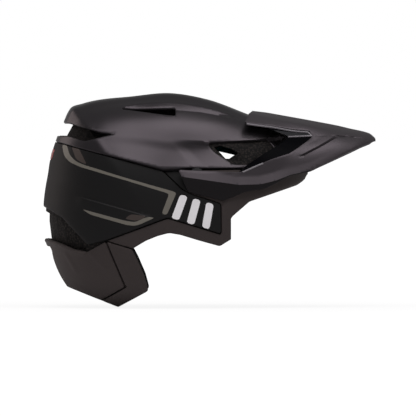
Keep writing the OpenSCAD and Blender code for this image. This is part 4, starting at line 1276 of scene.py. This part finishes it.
class HELMET_OT_crown(bpy.types.Operator):
    """Upper skin with its ridges, side slots, vents and intakes"""

    bl_idname = "helmet.crown"
    bl_label = "Crown shell"

    def execute(self, context):
        k = context.scene.helmet_shells
        outline = piece_outline(k, CROWN, "crown")
        openings = {"rear_vent": REAR_VENT, "side_slot": SIDE_SLOT, "side_vent": SIDE_VENT}
        rear, slot, vent = (rounded(line, CORNERS[name]) for name, line in openings.items())
        intake = rounded(INTAKE, CORNERS["intake"])
        tops = [rounded(top, CORNERS["top_slot"]) for top in TOP_SLOTS]

        def inside(p):
            xz, y = p[:, [0, 2]], p[:, 1]
            hole = within(xz, rear) & (p[:, 0] < 0)
            hole |= within(xz, slot) & (y > SLOT_Y)
            hole |= within(xz, vent) & (y > VENT_Y)
            hole |= within(p[:, [1, 2]], intake) & (p[:, 0] > INTAKE_X)
            for top in tops:
                hole |= within(p[:, [1, 0]], top) & (p[:, 2] > TOP_SLOT_Z)
            return within(xz, outline) & ~hole

        lines = [trace(SHELL, line) for line in (outline, rear, slot, vent)]
        lines.append(seen(intake, ALONG_X, INTAKE_WAYS))
        lines += [seen(top, ALONG_Z, TOP_SLOT_WAYS) for top in tops]
        lines += [ring_at(y) for y in (VENT_Y, SLOT_Y)]
        crown = skin(k, "crown", lines, inside, crown_relief, ["crown"], mm(k.rim), creases=CROWN_CREASES)
        seated(crown, "helmet", "crown_shell", "crown_shell")
        return {"FINISHED"}


class HELMET_OT_wrap(bpy.types.Operator):
    """Middle skin round the sides and the rear, with its inlaid stripes"""

    bl_idname = "helmet.wrap"
    bl_label = "Side wrap"

    def execute(self, context):
        k = context.scene.helmet_shells
        outline = piece_outline(k, WRAP, "wrap")
        seat = rounded(REFLECTOR_SEAT, CORNERS["seat"])

        def inside(p):
            seat_here = within(p[:, [1, 2]], seat) & (p[:, 0] < SEAT_X)
            return within(p[:, [0, 2]], outline) & ~seat_here

        lines = [trace(SHELL, outline), seen(seat, ALONG_X, SEAT_WAYS)]
        inks = [(rounded(stripe, CORNERS["stripe"]), ink) for stripe, ink in STRIPES]
        wrap = skin(k, "side_wrap", lines, inside, wrap_relief, ["wrap", "olive", "brown", "pale"],
                    mm(k.free_rim), inks=inks, creases=WRAP_CREASES, soft=wide_along(k, WRAP[8:], FREE_BELOW))
        seated(wrap, "helmet", "side_wrap_shell", "side_wrap_shell")
        return {"FINISHED"}


class HELMET_OT_trim(bpy.types.Operator):
    """Lower trim along the brow, with its wide rolled lower edge"""

    bl_idname = "helmet.trim"
    bl_label = "Lower trim"

    def execute(self, context):
        k = context.scene.helmet_shells
        outline = piece_outline(k, TRIM, "trim")

        def inside(p):
            return within(p[:, [0, 2]], outline)

        # The part behind the visor's arm takes the wrap's darker finish as painted shade
        trim = skin(k, "trim", [trace(SHELL, outline)], inside, trim_relief, ["trim", "wrap"], mm(k.free_rim),
                    mm(k.trim_inset), inks=[(ARM_PAINTED_SHADE, 1)], soft=wide_along(k, BROW[1:]))
        seated(trim, "helmet", "trim", "lower_trim")
        return {"FINISHED"}


class HELMET_OT_neck(bpy.types.Operator):
    """Neck skin and the two ear covers"""

    bl_idname = "helmet.neck"
    bl_label = "Neck and ear covers"

    def execute(self, context):
        k = context.scene.helmet_shells
        outline, cover = piece_outline(k, NECK, "neck"), piece_outline(k, EAR_COVER, "ear_cover")
        notch = rounded(DIAL_NOTCH, CORNERS["notch"])

        def inside(p):
            return within(p[:, [0, 2]], outline) & ~(within(p[:, [1, 2]], notch) & (p[:, 0] < NOTCH_X))

        def inside_cover(p):
            return within(p[:, [0, 2]], cover)

        lines = [trace(SHELL, outline), seen(notch, ALONG_X, NOTCH_WAYS)]
        neck = skin(k, "neck", lines, inside, neck_relief, ["trim"], mm(k.free_rim))
        seated(neck, "helmet", "trim", "neck_shell")
        left = skin(k, "ear_cover_skin_left", [trace(SHELL, cover)], inside_cover, neck_relief, ["trim"],
                    mm(k.free_rim), both=False)
        seated(left, "helmet", "trim", "ear_cover_left")
        seated(twin(left, "ear_cover_skin_right"), "helmet", "trim", "ear_cover_right")
        return {"FINISHED"}


class HELMET_OT_visor(bpy.types.Operator):
    """Visor with its arms, grooves and the gloss bevels of its windows"""

    bl_idname = "helmet.visor"
    bl_label = "Visor"

    def execute(self, context):
        k = context.scene.helmet_shells
        outline = rounded(VISOR_OUTLINE, CORNERS["visor"])
        centre = VISOR_FRONT - NOSE_R

        def inside(p):
            plan = (p[:, 0] < centre) | (np.hypot(p[:, 0] - centre, p[:, 1]) < NOSE_R)
            return within(p[:, [0, 2]], outline) & plan

        nose = np.linspace(-math.pi / 2, math.pi / 2, 90)[45:]
        arc = np.column_stack([centre + NOSE_R * np.cos(nose), NOSE_R * np.sin(nose)])
        lines = [trace(VISOR, outline), VISOR.flat_plan(spaced(arc, RIM_STEP, False))]
        visor = cut_sheet(VISOR, "visor_skin", lines, inside, visor_relief, ["visor", "arm"], 0, VISOR_THICK,
                          VISOR_RIM, mm(k.mesh), [(ARM_LOWER, 1)], VISOR_CREASES)
        seated(visor, "visor", "visor", "visor")
        for name, finish, outer, inner in WINDOW_BEVELS:
            self.both_sides(window_bevel(name, finish, outer, inner))
        under = BEVEL_UNDER[0]
        # Rounded edges along the windows, whose pale colour is a painted highlight
        for name, line in WINDOW_EDGES.items():
            points = window_row(line, len(spaced(line, EDGE_STEP, False)), under)
            self.both_sides(tube(name, points, EDGE_R, False, "bead", EDGE_SIDES))
        out_end = window_row(WINDOW_CORNER, 2, under)[0]
        in_end = window_row(WINDOW_CORNER, 2, CORNER_INWARD, False)[1]
        corner = np.linspace(out_end, in_end, 12)
        self.both_sides(tube("window_corner_bead", corner, EDGE_R, False, "bead", EDGE_SIDES))
        return {"FINISHED"}

    def both_sides(self, left):
        """Seats a left piece of the visor and its mirrored copy."""
        seated(left, "visor", "visor")
        seated(twin(left, left.name + "_right"), "visor", "visor")


# The head's form in mm: its fullness, and its front, side, top and lower reach from the centre
HEAD_FULLNESS = 2.2
HEAD_FRONT, HEAD_SIDE, HEAD_TOP, HEAD_LOW = 104, 82, 88, 110


def head_face(a, z, t):
    """Point on the head space at an angle round it and a height, moved inward by t."""
    ahead, beside = np.cos(np.radians(a)), np.sin(np.radians(a))
    f = np.where(z > 0, arch(z / (HEAD_TOP - t), HEAD_FULLNESS), 1.0)
    drawn = np.where(z < 0, (z / HEAD_LOW) ** 2, 0)
    reach = (HEAD_FRONT - t) * np.where(ahead > 0, 1, 1 - 0.13 * drawn)
    x = np.sign(ahead) * np.abs(ahead) ** (2 / HEAD_FULLNESS) * f * reach
    y = np.sign(beside) * np.abs(beside) ** (2 / HEAD_FULLNESS) * f * (HEAD_SIDE - t) * (1 - 0.11 * drawn)
    return np.stack([x, y, z + 0 * x], axis=-1)


# Pads: name, CAD node, body, angles round the head, heights, gap to the head's form, thickness, sewn channels
PADS = [
    ("brow_cushion", "brow_pad", "slip_layer", -50, 50, 30, 50, 3.5, 6.6, 3),
    ("crown_cushion_front", "crown_pads", "slip_layer", -22, 22, 62, 79, 3.5, 5.3, 0),
    ("crown_cushion_rear", "crown_pads", "slip_layer", 158, 202, 62, 79, 3.5, 5.3, 0),
    ("crown_cushion_left", "crown_pads", "slip_layer", 68, 112, 62, 79, 3.5, 5.3, 0),
    ("side_cushion_left", "side_pad_left", "slip_layer", 66, 120, 20, 38, 3.5, 6.6, 1),
    ("ear_cushion_left", "ear_pad_left", "helmet", 110, 134, -97, -57, 0.5, 7.5, 0),
    ("nape_cushion_left", "nape_pads", "helmet", 151, 170, -34, -8, 0.5, 5.6, 0),
]


# Air in the pads: frames of the cloth simulation, weight of the cover at each point in kg, and pressure
SWELL_FRAMES, COVER_MASS, PRESSURE = 20, 0.2, 4.0
# Sewn channels: half width in sixtieths of the pad's length, share of the depth, least depth in mm
CHANNEL_HALF, CHANNEL_DEPTH, CHANNEL_LEAST = 1.8, 0.62, 2.5
# Height in mm of a pad's edge over its back, and what its middle gives up of its thickness for that edge
PAD_EDGE, PAD_SEAM = 1.4, 1.6
# Powers of a pad's fullness, how far its sides draw in, and its width in mm for each degree round the head
PAD_SQUARE, PAD_ROUND, PAD_DRAWN, PAD_A_DEGREE = 3.5, 0.55, 0.28, 1.2


def plump(share):
    """Fullness of a pad across one of its directions: 0 at both ends and 1 in the middle."""
    return np.clip(1 - np.abs(2 * share - 1) ** PAD_SQUARE, 0, 1) ** PAD_ROUND


def cushion(name, a0, a1, z0, z1, back, thick, cell):
    """Closed pad whose sides draw in between its corners, with its grid of face points."""
    start, end = head_face(a0, (z0 + z1) / 2, back), head_face(a1, (z0 + z1) / 2, back)
    wide = max(np.linalg.norm(end - start), abs(a1 - a0) * PAD_A_DEGREE)
    nu, nv = int(wide / cell) + 1, int((z1 - z0) / cell) + 1
    u, v = np.meshgrid(np.linspace(0, 1, nu), np.linspace(0, 1, nv), indexing="ij")
    full, high = plump(u), plump(v)
    pulled = 0.5 + (v - 0.5) * (1 - PAD_DRAWN + PAD_DRAWN * full)
    a, z = a0 + (a1 - a0) * u, z0 + (z1 - z0) * pulled
    raised = PAD_EDGE * (0.6 + 0.4 * high) + (thick - PAD_SEAM) * full * high
    points = np.vstack([head_face(a, z, gap).reshape(-1, 3) for gap in (back + raised, back)])
    n = nu * nv
    faces = []
    for i in range(nu - 1):
        for j in range(nv - 1):
            q = (i * nv + j, (i + 1) * nv + j, (i + 1) * nv + j + 1, i * nv + j + 1)
            faces += [q, tuple(k + n for k in q[::-1])]
    ring = [i * nv for i in range(nu)] + [(nu - 1) * nv + j for j in range(1, nv)]
    ring += [i * nv + nv - 1 for i in range(nu - 2, -1, -1)] + [j for j in range(nv - 2, 0, -1)]
    for i, j in zip(ring, ring[1:] + ring[:1]):
        faces.append((j, i, i + n, j + n))
    p, q, r = (points[i] for i in faces[0][:3])
    if np.cross(q - p, r - p) @ (points[0] - points[n]) < 0:
        faces = [face[::-1] for face in faces]
    return solid_mesh(name, points, faces, [MATERIALS["pad"]], crisp=75), u.ravel(), np.array(ring), n


def blown_up(objects, cap):
    """Air pressure swells the pads by cloth simulation, and no point moves further than the cap."""
    scene = bpy.context.scene
    rest = {o: np.array([v.co for v in o.data.vertices]) for o in objects}
    for o in objects:
        m = o.modifiers.new("Swell", "CLOTH")
        m.settings.quality = 5
        m.settings.mass = COVER_MASS
        m.settings.use_pressure = True
        m.settings.uniform_pressure_force = PRESSURE
        m.settings.effector_weights.gravity = 0
        m.point_cache.frame_start, m.point_cache.frame_end = 1, SWELL_FRAMES
    for frame_number in range(1, SWELL_FRAMES + 1):
        scene.frame_set(frame_number)
    graph = bpy.context.evaluated_depsgraph_get()
    for o in objects:
        moved = np.array([v.co for v in o.evaluated_get(graph).data.vertices]) - rest[o]
        far = np.linalg.norm(moved, axis=1)[:, None]
        moved *= np.minimum(1, cap / np.maximum(far, 1e-9))
        o.modifiers.clear()
        reshaped(o, rest[o] + moved)
    scene.frame_set(1)


def reshaped(obj, points):
    """Moves the piece's points to new places in metres."""
    obj.data.vertices.foreach_set("co", points.ravel())
    obj.data.update()


def sewn(pad, share, n, channels):
    """Points in mm of a pad, after its sewn channels have drawn its face in."""
    co = np.array([v.co for v in pad.data.vertices]) / MM
    inward = co[n:] - co[:n]
    drawn = np.zeros(n)
    for c in range(channels):
        off = (share - (c + 1) / (channels + 1)) * 60
        drawn = np.maximum(drawn, np.exp(-((off / CHANNEL_HALF) ** 2)))
    deep = np.linalg.norm(inward, axis=1) > CHANNEL_LEAST
    co[:n] += inward * (CHANNEL_DEPTH * drawn * deep)[:, None]
    reshaped(pad, co * MM)
    return co


def tube(name, path, radius, closed, finish, sides=6):
    """Round cord of a radius in mm along a path."""
    n = len(path)
    ahead = unit(np.roll(path, -1, 0) - np.roll(path, 1, 0) if closed else np.gradient(path, axis=0))
    side = np.cross(ahead[0], (0, 0, 1) if abs(ahead[0][2]) < 0.8 else (1, 0, 0))
    points = []
    for k in range(n):
        side = unit(side - ahead[k] * (side @ ahead[k]))
        up = np.cross(ahead[k], side)
        for i in range(sides):
            g = 2 * math.pi * i / sides
            points.append(path[k] + radius * (math.cos(g) * side + math.sin(g) * up))
    faces = []
    for k in range(n if closed else n - 1):
        for i in range(sides):
            a, b = k * sides + i, k * sides + (i + 1) % sides
            c, d = (k + 1) % n * sides + (i + 1) % sides, (k + 1) % n * sides + i
            faces.append((a, b, c, d))
    if not closed:
        faces += [tuple(range(sides))[::-1], tuple(range((n - 1) * sides, n * sides))]
    return solid_mesh(name, points, faces, [MATERIALS[finish]], crisp=60)


class HELMET_OT_pads(bpy.types.Operator):
    """Comfort pads with drawn-in sides, sewn channels and piped seams"""

    bl_idname = "helmet.pads"
    bl_label = "Pads"

    def execute(self, context):
        k = context.scene.helmet_soft
        made = [cushion(name, *spans, mm(k.pad_mesh)) for name, _, _, *spans, _ in PADS]
        blown_up([pad for pad, *_ in made], k.pad_swell)
        for (pad, share, ring, n), (_, node, body, *_, channels) in zip(made, PADS):
            co = sewn(pad, share, n, channels)
            seam = tube(pad.name + "_piping", (co[ring] + co[ring + n]) / 2, mm(k.piping), True, "piping")
            pairs = [(pad, seam)]
            if pad.name.endswith("_left"):
                right = twin(pad, pad.name.replace("_left", "_right"))
                pairs.append((right, twin(seam, right.name + "_piping")))
            for cover, piping in pairs:
                for piece in (cover, piping):
                    piece.modifiers.new("Soft", "SUBSURF").render_levels = 1
                into = node.replace("_left", "_right") if cover.name.endswith("_right") else node
                seated(cover, body, "pad", into)
                seated(piping, body, "pad")
        return {"FINISHED"}


FRONT_STRAP = [(20, 76.6, -14), (4, 77.5, -16), (-14, 76.8, -19), (-32, 73.4, -26), (-46, 67, -35),
               (-54, 60.5, -44), (-59, 53, -52), (-61, 49.6, -56.5), (-61, 49.4, -58.8), (-61, 49.4, -63.8)]
REAR_STRAP = [(-66, 60.3, -28), (-66.5, 57.5, -35), (-66.3, 51.6, -43), (-64.5, 47.8, -50.5),
              (-62, 47.3, -55.5), (-62, 47.2, -58.5), (-62, 47, -63.8)]
CHIN_STRAP = [(-61.5, 48, -65.4), (-61, 47.5, -73), (-60, 44, -82), (-58.5, 37, -90.5), (-57, 29, -95.5),
              (-56, 23.5, -97), (-56, 15.5, -97)]
BESIDE, NAPE_WALL, BELOW_CHIN = (0, 1, 0), (-0.51, 0.86, 0), (0, -0.02, -1)

# Straps: name, route, outward direction at its start and at its end, and where its sewn boxes begin:
# minus the distance from the start, or the distance from the end, in mm
STRAPS = [
    ("front_strap", FRONT_STRAP, BESIDE, BESIDE, (-6.5, 4.5)),
    ("rear_strap", REAR_STRAP, NAPE_WALL, BESIDE, (-6.5, 4.5)),
    ("chin_strap", CHIN_STRAP, BESIDE, BELOW_CHIN, (-4.0, 2.2)),
]

# Stitches: length of a sewn box, margin beside it, spacing by stitch length, gap between stitches, and each
# stitch by share of its length, lift above the webbing's face and radius
BOX_LONG, BOX_MARGIN, STITCH_SPACING, STITCH_GAP = 5.0, 5, 1.35, 0.12
STITCH = ((0, 0.0, 0.12), (0.25, 0.16, 0.2), (0.75, 0.16, 0.2), (1, 0.0, 0.12))
FACE_SHARE = 0.82


def smooth_line(points, step):
    """Catmull-Rom curve through the points, with the share of the way along at each place."""
    p = np.array(points, float)
    q = np.vstack([2 * p[0] - p[1], p, 2 * p[-1] - p[-2]])
    out, share = [], []
    for i in range(len(p) - 1):
        a, b, c, d = q[i:i + 4]
        n = max(2, int(np.linalg.norm(c - b) / step))
        for t in np.linspace(0, 1, n, endpoint=False):
            bend = (2 * a - 5 * b + 4 * c - d) * t**2 + (3 * b - a - 3 * c + d) * t**3
            out.append(0.5 * (2 * b + (c - a) * t + bend))
            share.append((i + t) / (len(p) - 1))
    out.append(p[-1])
    share.append(1.0)
    return np.array(out), np.array(share)


def strap_frames(route, first, last, step=2.0):
    """Points, cross directions and outward directions along a strap."""
    path, share = smooth_line(route, step)
    ahead = unit(np.gradient(path, axis=0))
    face = np.array(first) * (1 - share[:, None]) + np.array(last) * share[:, None]
    across = unit(np.cross(ahead, face))
    return path, across, np.cross(across, ahead)


def webbing(name, route, first, last, width, thick):
    """Flat woven strap with rounded, slightly thicker edges and a map of its threads in metres."""
    path, across, out = strap_frames(route, first, last)
    w, t = width / 2, thick / 2
    half = [(w, 0), (w - 0.15, 0.55 * t), (w - 0.6, t), (w - 1.6, 0.85 * t), (w - 2.2, 0.78 * t),
            (0, FACE_SHARE * t)]
    section = half + [(-a, b) for a, b in half[-2::-1]]
    section += [(a, -b) for a, b in section[-2:0:-1]]
    k = len(section)
    rows = [[p + a * c + b * o for a, b in section] for p, c, o in zip(path, across, out)]
    run = run_of(path) * MM
    faces, mapped = [], []
    for i in range(len(path) - 1):
        for j in range(k):
            m = (j + 1) % k
            faces.append((i * k + j, i * k + m, (i + 1) * k + m, (i + 1) * k + j))
            near, far = section[j][0] * MM, section[m][0] * MM
            mapped += [(near, run[i]), (far, run[i]), (far, run[i + 1]), (near, run[i + 1])]
    faces += [tuple(range(k))[::-1], tuple(range((len(path) - 1) * k, len(path) * k))]
    mapped += [(a * MM, b * MM) for a, b in section[::-1] + section]
    obj = solid_mesh(name, np.vstack(rows), faces, [MATERIALS["webbing"]], crisp=50)
    layer = obj.data.uv_layers.new(name="thread")
    if len(layer.data) == len(mapped):
        layer.data.foreach_set("uv", np.array(mapped).ravel())
    return obj


def box_stitching(name, route, first, last, thick, at_end, wide, stitch):
    """A sewn box with crossed lines on the outer face near one end of a strap."""
    path, across, out = strap_frames(route, first, last, 0.5)
    run = run_of(path)
    low = -at_end if at_end < 0 else run[-1] - at_end - BOX_LONG
    high, w = low + BOX_LONG, wide / 2
    corners = [(low, -w), (high, -w), (high, w), (low, w)]
    lines = [(corners[i], corners[j]) for i, j in ((0, 1), (1, 2), (2, 3), (3, 0), (0, 2), (1, 3))]
    points, faces = [], []

    def on_strap(s, c, lift):
        """Point and outward direction at a length along the strap, a place across it and a lift."""
        rows = (path, across, out)
        at, cross, up = (np.array([np.interp(s, run, row[:, i]) for i in range(3)]) for row in rows)
        return at + cross * c + up * (thick / 2 * FACE_SHARE + lift), up

    for (s0, c0), (s1, c1) in lines:
        count = max(2, int(math.hypot(s1 - s0, c1 - c0) / (stitch * STITCH_SPACING)))
        for i in range(count):
            a, b = (i + STITCH_GAP) / count, (i + 1 - STITCH_GAP) / count
            row = []
            for share, lift, size in STITCH:
                t = a + (b - a) * share
                row.append(on_strap(s0 + (s1 - s0) * t, c0 + (c1 - c0) * t, lift) + (size,))
            way = unit(row[-1][0] - row[0][0])
            n = len(points)
            for p, up, size in row:
                side = np.cross(way, up)
                points += [p + size * side, p + size * up, p - size * side, p - size * up]
            for q in range(n, n + 12, 4):
                for g in range(4):
                    nxt = (g + 1) % 4
                    faces.append((q + g, q + nxt, q + 4 + nxt, q + 4 + g))
            faces += [(n + 3, n + 2, n + 1, n), (n + 12, n + 13, n + 14, n + 15)]
    return solid_mesh(name, points, faces, [MATERIALS["stitch"]], crisp=60)


class HELMET_OT_straps(bpy.types.Operator):
    """Side straps and chin strap of woven webbing, with their sewn ends"""

    bl_idname = "helmet.straps"
    bl_label = "Straps"

    def execute(self, context):
        k = context.scene.helmet_soft
        wide, thick = mm(k.strap_width), mm(k.strap_thickness)
        for name, route, first, last, ends in STRAPS:
            pieces = [(webbing(name + "_webbing_left", route, first, last, wide, thick), [name])]
            for i, end in enumerate(ends):
                sewn_end = box_stitching(f"{name}_stitching_{i + 1}_left", route, first, last, thick, end,
                                         wide - BOX_MARGIN, mm(k.stitch))
                pieces.append((sewn_end, []))
            for piece, nodes in pieces:
                right = twin(piece, piece.name.replace("_left", "_right"))
                seated(right, "helmet", "webbing", *[node + "_right" for node in nodes])
                if name != "chin_strap":
                    seated(piece, "helmet", "webbing", *[node + "_left" for node in nodes])
                    continue
                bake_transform(piece)
                if nodes:
                    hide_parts(name + "_left")
        return {"FINISHED"}


class HELMET_OT_foam(bpy.types.Operator):
    """Foam liners, slip liner, its anchors and the plain fittings"""

    bl_idname = "helmet.foam"
    bl_label = "Foam and fittings"

    def execute(self, context):
        finishes = {
            "foam": ("liner_upper", "liner_lower"), "rubber": ("slip_anchors",),
            "reflector": ("rear_reflector",), "steel": ("visor_pin_left", "visor_pin_right"),
            "fitting": ("ratchet_disc_left", "ratchet_disc_right", "height_rail", "dial_housing",
                        "housing_cover", "fit_band_left", "fit_band_right", "strap_rivets",
                        "strap_divider_left", "strap_divider_right", "buckle_socket", "buckle_tongue",
                        "strap_keeper"),
            "knob": ("dial_knob",), "acetal": ("drive_pinion",),
        }
        for name, nodes in finishes.items():
            for node in nodes:
                dress(node, name)
        seated(welded("slip_liner", "slip_sheet", "slip"), "slip_layer", "slip", "slip_liner")
        return {"FINISHED"}


# Studio: the floor's half size and its gap below the helmet in m, the glow at which the picture is white,
# the floor's share of it near the helmet, and the distances in m between which it rises to white
FLOOR_SIZE, FLOOR_GAP = 40.0, 0.0005
GLOW, NEAR_SHARE = 1.06, 0.84
FADE_FROM, FADE_TO = 0.3, 0.8
WORLD_LIGHT = 0.25
# Camera: pixels of the picture's width, width of its sensor in mm, and the point in mm that it looks at
PICTURE_WIDE, SENSOR = 416, 36
AIM = (38.9, 0, -3.2)


def mixed_shader(tree, share, first, second):
    """The first shader, turned into the second by a share from 0 to 1."""
    n = tree.nodes.new("ShaderNodeMixShader")
    for i, socket in enumerate((share, first, second)):
        tree.links.new(socket, n.inputs[i])
    return n.outputs[0]


def floor_finish(colour_of_floor):
    """Pale floor that keeps shadows, fades into the white backdrop and can be looked through from below."""
    m, t, s = plain("Pale floor", Base_Color=tone(colour_of_floor), Roughness=0.9)
    glow = t.nodes.new("ShaderNodeEmission")
    glow.inputs["Strength"].default_value = GLOW
    away = t.nodes.new("ShaderNodeVectorMath")
    away.operation = "LENGTH"
    t.links.new(object_space(t), away.inputs[0])
    fade = ranged(t, away.outputs["Value"], FADE_FROM, FADE_TO, NEAR_SHARE)
    in_view = t.nodes.new("ShaderNodeLightPath").outputs["Is Camera Ray"]
    lit = mixed_shader(t, math_node(t, "MULTIPLY", in_view, fade), s.outputs[0], glow.outputs[0])
    from_below = t.nodes.new("ShaderNodeNewGeometry").outputs["Backfacing"]
    clear = t.nodes.new("ShaderNodeBsdfTransparent")
    surface = mixed_shader(t, from_below, lit, clear.outputs[0])
    t.links.new(surface, t.nodes["Material Output"].inputs["Surface"])
    return m


def make_floor(k):
    """Wide floor just below the helmet."""
    z = CAD_BOX[0][2] - FLOOR_GAP
    corners = [(x * FLOOR_SIZE, y * FLOOR_SIZE, z) for x, y in ((-1, -1), (1, -1), (1, 1), (-1, 1))]
    mesh = bpy.data.meshes.new("floor")
    mesh.from_pydata(corners, [], [(0, 1, 2, 3)])
    floor = linked("floor", mesh)
    mesh.materials.append(floor_finish(k.floor_colour))


def make_world(scene, k):
    """Even light from all round, in front of a white backdrop."""
    world = bpy.data.worlds.new("Studio")
    scene.world = world
    world.use_nodes = True
    w = world.node_tree
    back = w.nodes["Background"]
    back.inputs["Color"].default_value = (1, 1, 1, 1)
    rays = w.nodes.new("ShaderNodeLightPath").outputs
    in_view = math_node(w, "MAXIMUM", rays["Is Camera Ray"], rays["Is Transmission Ray"])
    feed(w, back.inputs["Strength"], ranged(w, in_view, 0.0, 1.0, WORLD_LIGHT * k.light))


def make_lamp(k, name, where, aim, width, depth, power, shade):
    """Rectangular lamp at a place in m, turned to its aim."""
    lamp = bpy.data.lights.new(name, "AREA")
    lamp.shape = "RECTANGLE"
    lamp.size, lamp.size_y = width, depth
    lamp.energy = power * k.light
    lamp.color = shade
    o = linked(name, lamp)
    o.location = where
    o.rotation_euler = (Vector(aim) - Vector(where)).to_track_quat("-Z", "Y").to_euler()


def make_camera(scene, k):
    """Camera on the helmet's right side, far away and with a long lens."""
    camera = bpy.data.cameras.new("Camera")
    view = linked("Camera", camera)
    camera.sensor_width = SENSOR
    camera.lens = SENSOR * k.distance / (PICTURE_WIDE * k.mm_a_pixel * MM)
    camera.clip_end = 100
    away = Vector((0, -math.cos(k.elevation), math.sin(k.elevation)))
    view.location = Vector([v * MM for v in AIM]) + away * k.distance
    view.rotation_euler = (math.pi / 2 - k.elevation, 0, 0)
    scene.camera = view


class HELMET_OT_stage(bpy.types.Operator):
    """Floor, light and camera"""

    bl_idname = "helmet.stage"
    bl_label = "Studio"

    def execute(self, context):
        scene, k = context.scene, context.scene.helmet_stage
        scene.view_settings.view_transform = "Standard"
        make_floor(k)
        make_world(scene, k)
        for lamp in LAMPS:
            make_lamp(k, *lamp)
        make_camera(scene, k)
        return {"FINISHED"}


class HELMET_PT_panel(bpy.types.Panel):
    """Settings and pieces of the helmet"""

    bl_idname = "HELMET_PT_panel"
    bl_label = "Helmet"
    bl_space_type = "VIEW_3D"
    bl_region_type = "UI"
    bl_category = "Helmet"

    def draw(self, context):
        for settings in SETTINGS:
            block = getattr(context.scene, settings)
            for name in block.bl_rna.properties.keys():
                if name not in ("rna_type", "name"):
                    self.layout.prop(block, name)
        for operator in PIECES:
            self.layout.operator(operator.bl_idname)


SETTINGS = {"helmet_finishes": HelmetFinishes, "helmet_shells": HelmetShells, "helmet_soft": HelmetSoft,
            "helmet_stage": HelmetStage}
PIECES = [HELMET_OT_stage, HELMET_OT_crown, HELMET_OT_wrap, HELMET_OT_trim, HELMET_OT_neck, HELMET_OT_visor,
          HELMET_OT_foam, HELMET_OT_pads, HELMET_OT_straps]


def register():
    """Adds the settings, the operators and the panel."""
    for settings, kind in SETTINGS.items():
        bpy.utils.register_class(kind)
        setattr(bpy.types.Scene, settings, bpy.props.PointerProperty(type=kind))
    for kind in PIECES + [HELMET_PT_panel]:
        bpy.utils.register_class(kind)


def unregister():
    """Takes the panel, the operators and the settings away again."""
    for kind in [HELMET_PT_panel] + PIECES[::-1]:
        bpy.utils.unregister_class(kind)
    for settings, kind in SETTINGS.items():
        delattr(bpy.types.Scene, settings)
        bpy.utils.unregister_class(kind)


def main():
    """Builds every piece with the settings as they are."""
    register()
    make_materials(bpy.context.scene.helmet_finishes)
    for operator in PIECES:
        group_name, action = operator.bl_idname.split(".")
        getattr(getattr(bpy.ops, group_name), action)()


if __name__ == "__main__":
    main()
